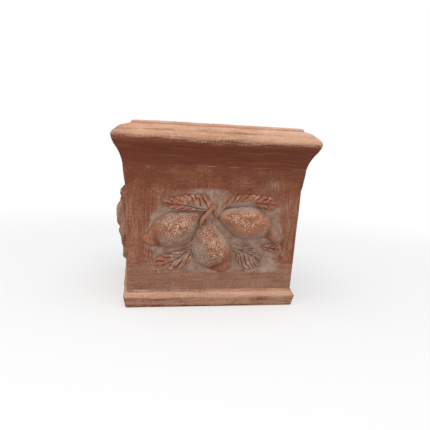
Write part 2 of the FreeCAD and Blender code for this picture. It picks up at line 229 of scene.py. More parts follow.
def outline_distance(points: Array, outline: Array) -> Array:
    """Distance from points on a plane to a closed outline, negative inside it.

    Args:
        points: Places, shape (n, 2).
        outline: Corners in order, shape (m, 2).

    Returns:
        Signed distance, shape (n,).
    """
    nearest = np.full(len(points), np.inf)
    crossings = np.zeros(len(points), dtype=int)
    for start, finish in zip(outline, np.roll(outline, -1, axis=0)):
        run = finish - start
        t = np.clip(((points - start) @ run) / max(float(run @ run), TINY), 0.0, 1.0)
        nearest = np.minimum(nearest, np.linalg.norm(points - start - t[:, None] * run, axis=1))
        spans = (start[1] > points[:, 1]) != (finish[1] > points[:, 1])
        height = run[1] if abs(run[1]) > TINY else TINY
        crossings += spans & (points[:, 0] < start[0] + (points[:, 1] - start[1]) * run[0] / height)
    return np.where(crossings % 2 == 1, -nearest, nearest)


def enclosed_volume(points: Array, quads: Array, triangles: Array) -> float:
    """Signed volume inside closed faces.

    It is a sixth of the sum of a . (b x c) over the triangles, with each quad cut in two.

    Args:
        points: Corners of the faces, shape (n, 3).
        quads: Corner numbers of the four-sided faces.
        triangles: Corner numbers of the three-sided ones.

    Returns:
        The volume, positive where the faces point outward.
    """
    halves = np.concatenate([quads[:, [0, 1, 2]], quads[:, [0, 2, 3]], triangles])
    a, b, c = points[halves.T]
    return float(np.einsum("ij,ij->i", a, np.cross(b, c)).sum() / 6.0)


@dataclass
class ClaySheet:
    """A grid of points that closes across its columns, and in its rows too or with a cap at each end.

    Fields:
        points: Shape (rows, columns, 3).
        marks: Values for the finish, each of shape (rows, columns), by name.
        ring: True where the last row joins the first, and False where both ends have caps.
    """

    points: Array
    marks: dict[str, Array] = field(default_factory=dict)
    ring: bool = False

    def faces(self) -> tuple[Array, Array]:
        """Faces between neighbouring points, and those of the caps, which fan out from their middles.

        Returns:
            Corner numbers of the four-sided faces, and of the three-sided ones.
        """
        rows, columns = self.points.shape[:2]
        numbers = np.arange(rows * columns).reshape(rows, columns)
        if self.ring:
            numbers = np.concatenate([numbers, numbers[:1]])
        across = np.roll(numbers, -1, axis=1)
        quads = np.stack([numbers[:-1], across[:-1], across[1:], numbers[1:]], axis=-1)
        low = np.stack([across[0], numbers[0], np.full(columns, rows * columns)], axis=-1)
        high = np.stack([numbers[-1], across[-1], np.full(columns, rows * columns + 1)], axis=-1)
        caps = np.concatenate([low, high])
        return quads.reshape(-1, 4), caps[:0] if self.ring else caps

    def capped(self, grid: Array) -> Array:
        """Values of the grid in one row of corners, with each cap's middle after them."""
        flat = grid.reshape(-1, *grid.shape[2:])
        return flat if self.ring else np.concatenate([flat, [grid[0].mean(axis=0), grid[-1].mean(axis=0)]])

    def dress(self, name: str, finish: Material, slot: str, *nodes: str) -> None:
        """Makes the sheet a piece with its material and body, in place of the nodes it stands for.

        Args:
            name: Name of the piece.
            finish: Its material.
            slot: Name of the record's material slot; it is not used.
            nodes: Names of the nodes that it replaces.
        """
        points = self.capped(self.points) * MM
        quads, triangles = self.faces()
        if enclosed_volume(points, quads, triangles) < 0:
            quads, triangles = quads[:, ::-1], triangles[:, ::-1]
        mesh = bpy.data.meshes.new(name)
        mesh.from_pydata(points.tolist(), [], quads.tolist() + triangles.tolist())
        mesh.polygons.foreach_set("use_smooth", np.ones(len(mesh.polygons), dtype=bool))
        for mark, values in self.marks.items():
            layer = mesh.attributes.new(mark, "FLOAT", "POINT")
            layer.data.foreach_set("value", self.capped(values).astype(np.float32))
        mesh.update()
        piece = bpy.data.objects.new(name, mesh)
        bpy.context.scene.collection.objects.link(piece)
        piece.data.materials.append(finish)
        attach(piece, BODY)
        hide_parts(*nodes)
        LOG.info("%s: %d faces", piece.name, len(piece.data.polygons))


# Shader building


@dataclass(frozen=True)
class Value:
    """A number, colour or vector in a shader tree, with arithmetic that adds Math nodes."""

    wires: "Wiring"
    socket: bpy.types.NodeSocket

    def __add__(self, other: object) -> "Value":
        """Sum of the two."""
        return self.wires.math("ADD", self, other)

    def __sub__(self, other: object) -> "Value":
        """This less the other."""
        return self.wires.math("SUBTRACT", self, other)

    def __rsub__(self, other: object) -> "Value":
        """The other less this."""
        return self.wires.math("SUBTRACT", other, self)

    def __mul__(self, other: object) -> "Value":
        """Product of the two."""
        return self.wires.math("MULTIPLY", self, other)

    def band(self, low: float, high: float) -> "Value":
        """Zero up to low and one past high, smooth between.

        Args:
            low: Where it leaves zero, which may be the larger of the two.
            high: Where it reaches one.

        Returns:
            The result, from 0 to 1.
        """
        ends = {"Value": self, "From Min": min(low, high), "From Max": max(low, high)}
        rising = self.wires.value("MapRange", ends, "Result", interpolation_type="SMOOTHSTEP", clamp=True)
        return rising if low < high else 1.0 - rising


class Wiring:
    """Short ways to add and join the nodes of one shader tree."""

    def __init__(self, tree: bpy.types.NodeTree) -> None:
        """Takes the tree."""
        self.tree = tree

    def put(self, socket: bpy.types.NodeSocket, value: object) -> None:
        """Sets a socket to a number, vector or colour, or joins a value to it.

        Args:
            socket: The socket.
            value: What goes into it.
        """
        if isinstance(value, Value):
            self.tree.links.new(value.socket, socket)
        else:
            socket.default_value = (*value, 1.0) if socket.type == "RGBA" else value

    def node(self, kind: str, inputs: dict[int | str, object], **settings: object) -> bpy.types.Node:
        """New node.

        Args:
            kind: Its kind, without ShaderNode before it.
            inputs: What goes into its sockets, by their names or numbers.
            settings: Its settings by name.

        Returns:
            The node.
        """
        made = self.tree.nodes.new("ShaderNode" + kind)
        for name, setting in settings.items():
            setattr(made, name, setting)
        for socket, value in inputs.items():
            self.put(made.inputs[socket], value)
        return made

    def value(
        self, kind: str, inputs: dict[int | str, object], output: int | str = 0, **settings: object
    ) -> Value:
        """One output of a new node."""
        return Value(self, self.node(kind, inputs, **settings).outputs[output])

    def math(self, operation: str, *values: object) -> Value:
        """Result of a Math node on the values."""
        return self.value("Math", dict(enumerate(values)), operation=operation)

    def mix(self, share: object, first: object, second: object) -> Value:
        """Colour mixed from two colours by a share."""
        return self.value("Mix", {0: share, 6: first, 7: second}, 2, data_type="RGBA")

    def blend(self, share: object, first: object, second: object) -> Value:
        """Number mixed from two numbers by a share."""
        return self.value("Mix", {0: share, 2: first, 3: second}, data_type="FLOAT")

    def coats(self, colour: object, *coats: tuple[object, object]) -> Value:
        """Coats laid over a colour one after another.

        Args:
            colour: What they lie on.
            coats: The share that each covers, and its colour.

        Returns:
            The colour that comes of it.
        """
        for share, coat in coats:
            colour = self.mix(share, colour, coat)
        return colour

    def strayed(self, value: object, *parts: tuple[Value, float]) -> Value:
        """Value that strays with others.

        Args:
            value: The value or number.
            parts: What it strays with, and the weight of its distance from a half.

        Returns:
            The sum.
        """
        for part, weight in parts:
            value = (part - 0.5) * weight + value
        return value

    def noise(self, vector: Value, scale: float, detail: float, rough: float) -> Value:
        """Noise value at a vector."""
        inputs = {"Vector": vector, "Scale": scale, "Detail": detail, "Roughness": rough}
        return self.value("TexNoise", inputs, "Fac")

    def stretch(self, vector: Value, factors: Triple) -> Value:
        """Vector multiplied by three factors."""
        return self.value("VectorMath", {0: vector, 1: factors}, operation="MULTIPLY")

    def axes(self, vector: Value) -> list[Value]:
        """The three parts of a vector."""
        return [Value(self, socket) for socket in self.node("SeparateXYZ", {0: vector}).outputs]

    def mark(self, name: str) -> Value:
        """Value of a mesh mark."""
        return self.value("Attribute", {}, "Fac", attribute_name=name)


Given = dict[str, Value]


def side_map(w: Wiring, given: Given) -> Given:
    """Unrolls the four sides: across along the side, a number for the side, and height.

    On the two sides where x is the larger, across is y with the sign of x, and on the others it is
    -x with the sign of y, so it always runs to the right as seen from outside.

    Args:
        w: Wiring of the group.
        given: Its inputs: Object.

    Returns:
        Its outputs: Map and Across.
    """
    x, y, z = w.axes(given["Object"])
    x_sign, y_sign = w.math("SIGN", x), w.math("SIGN", y)
    wide = w.math("GREATER_THAN", w.math("ABSOLUTE", x), w.math("ABSOLUTE", y))
    narrow = 1.0 - wide
    across = y * x_sign * wide + x * y_sign * -1.0 * narrow
    which = x_sign * wide + y_sign * narrow * 2.0
    return {"Map": w.value("CombineXYZ", {0: across, 1: which, 2: z}), "Across": across}


def brush_strokes(w: Wiring, given: Given) -> Given:
    """Brush strokes in slip: fine and broad streaks, which are noise drawn out long.

    Args:
        w: Wiring of the group.
        given: Its inputs: Map, and Upright, which is 1 where the strokes stand upright.

    Returns:
        Its outputs: Streaks and Broad.
    """
    sway = w.value("TexNoise", {"Vector": given["Map"], "Scale": 14.0}, "Color")
    parts = {0: sway, 1: (0.008, 0.0, 0.008), 2: given["Map"]}
    swayed = w.value("VectorMath", parts, operation="MULTIPLY_ADD")
    results = {}
    for name, size in (("Streaks", 1.0), ("Broad", 0.3)):
        level = w.noise(w.stretch(swayed, (24.0 * size, 5.0, 380.0 * size)), 1.0, 3.0, 0.6)
        erect = w.noise(w.stretch(swayed, (360.0 * size, 5.0, 22.0 * size)), 1.0, 3.0, 0.6)
        results[name] = w.blend(given["Upright"], level, erect)
    return results


def fired_clay(w: Wiring, given: Given) -> Given:
    """The clay itself: blotches, specks and grit over a body colour, with a height.

    Args:
        w: Wiring of the group.
        given: Its inputs: Object, and the colours Body, Deep and Bloom.

    Returns:
        Its outputs: Color, Height and Blotch.
    """
    place, deep, bloom = given["Object"], given["Deep"], given["Bloom"]
    blotch = w.noise(place, 17.0, 4.0, 0.6)
    cloud = w.noise(place, 46.0, 4.0, 0.65)
    grit = w.noise(place, 340.0, 4.0, 0.65)
    speck = w.noise(place, 420.0, 3.0, 0.6)
    colour = w.coats(
        given["Body"],
        (blotch.band(0.42, 0.68) * 0.25, deep),
        (cloud.band(0.52, 0.74) * 0.35, bloom),
        (speck.band(0.50, 0.74) * 0.5, bloom),
        (speck.band(0.50, 0.28) * 0.55, deep),
    )
    return {"Color": colour, "Height": grit * 0.8 + cloud * 0.4, "Blotch": blotch}


@dataclass(frozen=True)
class SharedGroup:
    """A shader node group that more than one finish uses.

    Fields:
        name: Name of the group.
        inputs: Kinds of its input sockets by name: Color, Float or Vector.
        outputs: The same for its output sockets.
        work_out: Gives its outputs from its inputs.
    """

    name: str
    inputs: dict[str, str]
    outputs: dict[str, str]
    work_out: Callable[[Wiring, Given], Given]

    def make(self) -> bpy.types.NodeTree:
        """Builds the group.

        Returns:
            Its tree.
        """
        tree = bpy.data.node_groups.new(self.name, "ShaderNodeTree")
        for way, sockets in (("INPUT", self.inputs), ("OUTPUT", self.outputs)):
            for label, kind in sockets.items():
                tree.interface.new_socket(name=label, in_out=way, socket_type="NodeSocket" + kind)
        w = Wiring(tree)
        start, finish = tree.nodes.new("NodeGroupInput"), tree.nodes.new("NodeGroupOutput")
        given = {label: Value(w, start.outputs[label]) for label in self.inputs}
        for label, value in self.work_out(w, given).items():
            w.put(finish.inputs[label], value)
        return tree


SHARED_GROUPS = {
    "side": SharedGroup("Side map", {"Object": "Vector"}, {"Map": "Vector", "Across": "Float"}, side_map),
    "brush": SharedGroup(
        "Brush strokes",
        {"Map": "Vector", "Upright": "Float"},
        {"Streaks": "Float", "Broad": "Float"},
        brush_strokes,
    ),
    "clay": SharedGroup(
        "Fired clay",
        {"Object": "Vector", "Body": "Color", "Deep": "Color", "Bloom": "Color"},
        {"Color": "Color", "Height": "Float", "Blotch": "Float"},
        fired_clay,
    ),
}


class ClayTree(Wiring):
    """Shader tree of a clay finish, with the place on the object and the map of its side."""

    def __init__(self, tree: bpy.types.NodeTree, groups: dict[str, bpy.types.NodeTree]) -> None:
        """Adds the place that every finish reads.

        Args:
            tree: An empty tree.
            groups: The shared groups by name.
        """
        super().__init__(tree)
        self.groups = groups
        self.place = self.value("TexCoord", {}, "Object")

    @cached_property
    def side(self) -> Given:
        """Map of the side, and the place across it."""
        return self.group("side", Object=self.place)

    def group(self, name: str, **inputs: object) -> Given:
        """Outputs of a shared group, placed with its inputs."""
        made = self.node("Group", inputs, node_tree=self.groups[name])
        return {socket.name: Value(self, socket) for socket in made.outputs}

    def strokes(self, upright: object) -> tuple[Value, Value]:
        """Fine and broad brush strokes."""
        made = self.group("brush", Map=self.side["Map"], Upright=upright)
        return made["Streaks"], made["Broad"]

    def clay(self, body: object, deep: Triple, bloom: Triple) -> Given:
        """Outputs of the fired clay in three colours."""
        return self.group("clay", Object=self.place, Body=body, Deep=deep, Bloom=bloom)


@dataclass(frozen=True)
class ClayColours:
    """Linear colours of the clay and of what lies on it."""

    red: Triple = (0.205, 0.074, 0.042)
    deep: Triple = (0.150, 0.048, 0.027)
    dark: Triple = (0.095, 0.032, 0.020)
    tan: Triple = (0.330, 0.180, 0.118)
    peach: Triple = (0.560, 0.330, 0.225)
    apricot: Triple = (0.500, 0.250, 0.155)
    orange: Triple = (0.345, 0.140, 0.082)
    brown: Triple = (0.250, 0.125, 0.080)
    # Darker red clay with painted shade, for the hollow under the rim's nose.
    cove_red_and_shade: Triple = (0.138, 0.038, 0.021)
    leaf: Triple = (0.325, 0.127, 0.074)
    slip: Triple = (0.260, 0.162, 0.120)
    bloom: Triple = (0.370, 0.262, 0.208)
    pale: Triple = (0.620, 0.440, 0.340)


CLAY = ClayColours()


@dataclass(frozen=True)
class ClayFinish:
    """Base of the clay finishes: a matt surface whose colour and height each finish works out.

    Fields:
        name: Name of the material.
        relief: Height of the fine relief, in metres.
    """

    name: str
    relief: float = 0.9 * MM

    ROUGHNESS = 1.0
    SPECULAR = 0.08

    def material(self, groups: dict[str, bpy.types.NodeTree]) -> Material:
        """Builds the material.

        Args:
            groups: The shared groups by name.

        Returns:
            The material.
        """
        made = bpy.data.materials.new(self.name)
        made.use_nodes = True
        made.node_tree.nodes.clear()
        w = ClayTree(made.node_tree, groups)
        colour, height = self.surface(w)
        relief = w.value("Bump", {"Distance": self.relief, "Strength": 1.0, "Height": height}, "Normal")
        looks = {"Base Color": colour, "Roughness": self.ROUGHNESS, "Specular IOR Level": self.SPECULAR}
        shader = w.value("BsdfPrincipled", {**looks, "Normal": relief})
        w.node("OutputMaterial", {"Surface": shader})
        return made

    def surface(self, w: ClayTree) -> tuple[Value, Value]:
        """Colour and height of the surface."""
        raise NotImplementedError


@dataclass(frozen=True)
class WallFinish(ClayFinish):
    """Walls: red clay brushed level above and below the spray and upright beside it, slip round it."""

    def surface(self, w: ClayTree) -> tuple[Value, Value]:
        """Strokes over clay, slip residue by the spray, and light worn corners.

        The tone runs from deep red through tan to peach. It is a sum of streaks, blotches and grain,
        and of areas that are lighter or darker as a whole.

        Args:
            w: Tree of the finish.

        Returns:
            Colour and height.
        """
        across = w.side["Across"]
        stray = (w.noise(w.place, 22.0, 3.0, 0.6) - 0.5) * 0.09
        aside, height = w.math("ABSOLUTE", across) + stray, w.axes(w.place)[2] + stray
        height = height - across.band(-0.090, -0.130) * height.band(0.200, 0.120) * 0.020
        beside = aside.band(0.072, 0.122) * (height.band(0.068, 0.100) * height.band(0.280, 0.215))
        above = aside.band(0.050, 0.015) * height.band(0.203, 0.218) * height.band(0.270, 0.236)
        streaks, broad = w.strokes(w.math("MAXIMUM", beside, above))
        blotch = w.noise(w.place, 15.0, 4.0, 0.6)
        grain = w.noise(w.place, 300.0, 3.0, 0.6)
        low_strip = height.band(0.088, 0.064)
        tone = w.strayed(0.28, (streaks, 1.5), (broad, 1.0), (blotch, 1.2), (grain, 1.2))
        for area, weight in (
            (beside, 0.24),
            (low_strip, 0.33),
            (height.band(0.225, 0.270), -0.50),
            (height.band(0.20, 0.08), 0.10),
            (across.band(0.085, 0.130) * height.band(0.070, 0.090), -0.16),
            (across.band(-0.020, -0.120) * height.band(0.072, 0.060), -0.10),
            (across.band(-0.108, -0.140) * height.band(0.180, 0.205), -0.22),
        ):
            tone = tone + area * weight
        body = w.coats(
            CLAY.deep,
            (tone.band(-0.15, 0.30), CLAY.red),
            (tone.band(0.25, 0.95), CLAY.tan),
            (tone.band(0.90, 1.35) * 0.6, CLAY.peach),
            (low_strip * 0.28, CLAY.slip),
        )
        clay = w.clay(body, CLAY.deep, CLAY.orange)
        patchy = w.noise(w.place, 70.0, 4.0, 0.7)
        # The slip goes pale by the pale mark, which is partly painted light in a shaded gap.
        slip = w.coats(CLAY.slip, (patchy.band(0.40, 0.68), CLAY.bloom), (w.mark("pale"), CLAY.pale))
        residue = w.mark("residue") * (patchy * 2.7 + streaks * 0.6 - 0.65)
        colour = w.coats(
            clay["Color"],
            (residue.band(0.02, 0.80) * 0.94, slip),
            # Painted shade in the crevices round the sprigs.
            (w.mark("crevice_shade") * 0.5, CLAY.deep),
            (w.mark("wear") * patchy.band(0.42, 0.66), CLAY.tan),
        )
        return colour, streaks * 0.9 + clay["Height"] * 0.6


@dataclass(frozen=True)
class MouldingFinish(ClayFinish):
    """Rim and foot: level strokes, pale from rubbing wear and from painted light on the faces turned up,
    dark red with painted shade under the nose.
    """

    def surface(self, w: ClayTree) -> tuple[Value, Value]:
        """From dark clay through body colour to peach by the paleness mark, which is partly rubbing wear and
        partly painted light.

        Args:
            w: Tree of the finish.

        Returns:
            Colour and height.
        """
        streaks, broad = w.strokes(0.0)
        clay = w.clay(CLAY.red, CLAY.deep, CLAY.orange)
        grain = w.noise(w.place, 320.0, 3.0, 0.65)
        parts = ((broad, 1.0), (streaks, 1.0), (clay["Blotch"], 0.6), (grain, 1.0))
        rubbed = w.strayed(w.mark("rubbed"), *parts)
        colour = w.coats(
            clay["Color"],
            # Painted shade: dark red in the hollow under the nose, low on the foot and down the inside,
            # partly the clay's own darker red.
            (w.mark("shade"), CLAY.cove_red_and_shade),
            (streaks.band(0.54, 0.34) * 0.75, CLAY.dark),
            (broad.band(0.50, 0.66) * 0.45, CLAY.red),
            # Tan, peach and pale by the paleness: partly rubbing wear, partly painted light and highlights
            # on the faces turned up.
            (rubbed.band(0.20, 0.50), CLAY.tan),
            (rubbed.band(0.45, 0.95), w.mix(broad.band(0.44, 0.62), CLAY.peach, CLAY.apricot)),
            (rubbed.band(0.98, 1.35) * 0.8, CLAY.pale),
            # Painted shade along the bead's groove and the joint, in orange.
            (w.mark("crevice_shade") * 0.5, CLAY.orange),
        )
        return colour, streaks * 0.9 + clay["Height"] * 0.6


@dataclass(frozen=True)
class FruitFinish(ClayFinish):
    """Lemons: grains with peach tops, partly rubbing wear and partly painted highlight, painted shade in the
    pits between them, slip low down, orange tips.
    """

    def surface(self, w: ClayTree) -> tuple[Value, Value]:
        """Coats by the marks of grain, tip, slip and pale, with painted shade in the pits and crevices.

        Args:
            w: Tree of the finish.

        Returns:
            Colour and height.
        """
        cloud = w.noise(w.place, 60.0, 4.0, 0.6)
        broad = w.noise(w.place, 30.0, 3.0, 0.6)
        crumb = w.noise(w.place, 190.0, 3.0, 0.65)
        clay = w.clay(w.mix(broad.band(0.38, 0.62), CLAY.orange, CLAY.brown), CLAY.red, CLAY.tan)
        tip = w.coats(
            CLAY.orange,
            (broad.band(0.40, 0.60), CLAY.red),
            (crumb.band(0.47, 0.68), CLAY.apricot),
            (crumb.band(0.46, 0.30) * 0.7, CLAY.deep),
        )
        slipped = w.mark("slip")
        # Colour of the grain tops: partly wear, partly painted highlight.
        worn_and_lit = w.coats(CLAY.apricot, (broad.band(0.36, 0.60), CLAY.peach), (slipped, CLAY.bloom))
        grain = w.strayed(w.mark("grain"), (cloud, 0.6), (crumb, 0.5))
        colour = w.coats(
            clay["Color"],
            (slipped * cloud.band(0.22, 0.52), w.mix(cloud.band(0.46, 0.80), CLAY.slip, CLAY.bloom)),
            (w.mark("tip") * 0.8, tip),
            (grain.band(0.18, 0.90), worn_and_lit),
            # Painted highlights on the grain peaks, fewer under slip.
            (grain.band(0.62, 1.10) * (0.42 - slipped * 0.34), CLAY.pale),
            # Painted shade in the pits between the grains and in the crease.
            (w.mark("pit") * 0.75, CLAY.deep),
            # Pale slip along the upper edge, partly painted light on the shaded gap there.
            (w.mark("pale") * cloud.band(0.25, 0.5), CLAY.bloom),
            # Painted shade at the lemon's edges, deepest on the lower side and under the smooth end.
            (w.mark("crevice_shade") * 0.65, CLAY.deep),
        )
        return colour, clay["Height"]


@dataclass(frozen=True)
class LeafFinish(ClayFinish):
    """Leaves and twig: orange clay, painted shade in the veins, painted highlights on the ridges and slip
    near the wall.
    """

    def surface(self, w: ClayTree) -> tuple[Value, Value]:
        """Coats by the slip mark, the painted highlight on the ridges, and the painted shade in the veins
        and crevices.

        Args:
            w: Tree of the finish.

        Returns:
            Colour and height.
        """
        clay = w.clay(CLAY.leaf, CLAY.red, CLAY.orange)
        cloud = w.noise(w.place, 75.0, 4.0, 0.65)
        slipped = w.mark("slip")
        slip = w.coats(
            # Slip past 1, where slip fills a half, goes pale: painted light on that shaded fill.
            CLAY.slip, (cloud.band(0.40, 0.66), CLAY.bloom), (slipped.band(1.0, 1.6) * 0.5, CLAY.pale)
        )
        colour = w.coats(
            clay["Color"],
            (w.strayed(slipped, (cloud, 1.3)).band(0.15, 0.75) * 0.9, slip),
            # Painted highlight on the crests of the lobes and beside each vein, with random specks.
            (w.strayed(w.mark("ridge"), (cloud, 1.0)).band(0.25, 0.95) * 0.75, CLAY.peach),
            # Painted shade in the cut veins and the midrib.
            (w.mark("vein") * 0.78, CLAY.dark),
            # Painted shade at the edges of the leaves and down the sides of the twig.
            (w.mark("crevice_shade") * 0.6, CLAY.deep),
        )
        return colour, clay["Height"]


@dataclass(frozen=True)
class InsideFinish(ClayFinish):
    """Inside of the planter: unbrushed clay with lime bloom low down."""

    def surface(self, w: ClayTree) -> tuple[Value, Value]:
        """Clay with finger wipes and a pale bloom.

        Args:
            w: Tree of the finish.

        Returns:
            Colour and height.
        """
        clay = w.clay(CLAY.red, CLAY.deep, CLAY.orange)
        wipe = w.noise(w.stretch(w.side["Map"], (18.0, 5.0, 90.0)), 1.0, 3.0, 0.55)
        bloom = w.noise(w.place, 24.0, 5.0, 0.7)
        wiped = (wipe.band(0.45, 0.8) * 0.5, CLAY.tan)
        colour = w.coats(clay["Color"], wiped, (bloom.band(0.56, 0.78) * 0.5, CLAY.slip))
        return colour, wipe + clay["Height"] * 0.5


# Sprigs on a wall


@dataclass(frozen=True)
class WallFace:
    """The flat outer face of one side's wall, measured from the middle of its spray."""

    side: Side

    def place(self, across: Array, up: Array, out: Array) -> Array:
        """Points from their place across, up along and out of the face.

        The face's origin stands at the spray's height on the outer face, up leans outward by the
        wall's lean, and out is at a right angle to the face. The whole is turned to its side.

        Args:
            across: To the right as seen from outside.
            up: Up along the face.
            out: Away from the face.

        Returns:
            Points, shape (..., 3).
        """
        c, s = math.cos(SIZES.lean), math.sin(SIZES.lean)
        y, z = -(SIZES.spray_depth + up * s + out * c), SIZES.spray_height + up * c - out * s
        return turned(np.stack(np.broadcast_arrays(across, y, z), axis=-1), self.side.turn)


@dataclass(frozen=True)
class SprigFrame:
    """Where a sprig's stem end stands on the wall face, and how it runs: its turn in degrees."""

    across: float = 0.0
    up: float = 0.0
    turn: float = 0.0
    length: float = 0.0

    def to_wall(self, along: Array, aside: Array) -> tuple[Array, Array]:
        """Places across and up on the wall from places along the sprig and to its left."""
        c, s = math.cos(math.radians(self.turn)), math.sin(math.radians(self.turn))
        return self.across + along * c - aside * s, self.up + along * s + aside * c


SUNK = 0.8


def closed_on_wall(
    wall: WallFace,
    spot: SprigFrame,
    along: Array,
    aside: Array,
    out: Array,
    marks: dict[str, Array],
    under: int,
) -> ClaySheet:
    """Top of a sprig closed underneath by a flat back that is sunk into the wall face.

    The back's columns run in a straight line from the left edge to the right one.

    Args:
        wall: Face that it sits on.
        spot: Its stem end and direction.
        along: Places along the sprig, shape (rows, columns).
        aside: Places to its left, the same shape.
        out: Heights above the wall face, the same shape.
        marks: Marks of the top, which spread to the same shape.
        under: Number of columns in the back.

    Returns:
        The closed sheet.
    """
    t = np.linspace(0.0, 1.0, under)[None, :]
    back = ((0, 0), (0, under))
    full = {name: np.pad(np.broadcast_to(values, out.shape), back) for name, values in marks.items()}
    along, aside = (np.hstack([way, way[:, -1:] * (1 - t) + way[:, :1] * t]) for way in (along, aside))
    heights = np.pad(out, back, constant_values=-SUNK)
    return ClaySheet(wall.place(*spot.to_wall(along, aside), heights), full)


@dataclass(frozen=True)
class Sprig:
    """Base of the spray's pieces.

    Fields:
        label: Name of the piece without its side.
        rise: Greatest height above the wall.
        node: Name without its side of the node that it stands for, where that isn't the label.
    """

    label: str
    rise: float
    node: str = ""

    def dress(self, wall: WallFace, finish: Material, slot: str) -> None:
        """Builds and dresses the piece on a wall."""
        side = wall.side.label + "_"
        self.sheet(wall).dress("clay_" + side + self.label, finish, slot, side + (self.node or self.label))

    def outline(self) -> Array:
        """Outline on the wall face, shape (n, 2)."""
        raise NotImplementedError

    def sheet(self, wall: WallFace) -> ClaySheet:
        """Skin of the piece."""
        raise NotImplementedError


@dataclass(frozen=True)
class LongSprig(Sprig):
    """A sprig drawn by its edges at stations along its length.

    Fields:
        spot: Its stem end and direction.
        right: Right edge at each station, measured to the left.
        left: Left edge at each station.
        seed: Picks its grains, or how its veins stray.
    """

    spot: SprigFrame = SprigFrame()
    right: tuple[float, ...] = ()
    left: tuple[float, ...] = ()
    seed: int = 0

    STATIONS = (0.0, 1.0)
    OUTLINE_STEPS = 30

    def curve(self, values: tuple[float, ...], share: Array) -> Array:
        """Curve through a value at each station, read at shares of the length."""
        return smooth_curve(np.array(self.STATIONS), np.array(values), share)

    def edges(self, share: Array) -> tuple[Array, Array]:
        """Right and left edge at shares of the length."""
        return self.curve(self.right, share), self.curve(self.left, share)

    def outline(self) -> Array:
        """Outline on the wall face, up the left edge and down the right one.

        Returns:
            Its corners, shape (n, 2).
        """
        share = np.linspace(0.0, 1.0, self.OUTLINE_STEPS)
        right, left = self.edges(share)
        along = share * self.spot.length
        sides = [self.spot.to_wall(along, left), self.spot.to_wall(along[::-1], right[::-1])]
        return np.concatenate([np.stack(side, axis=-1) for side in sides])


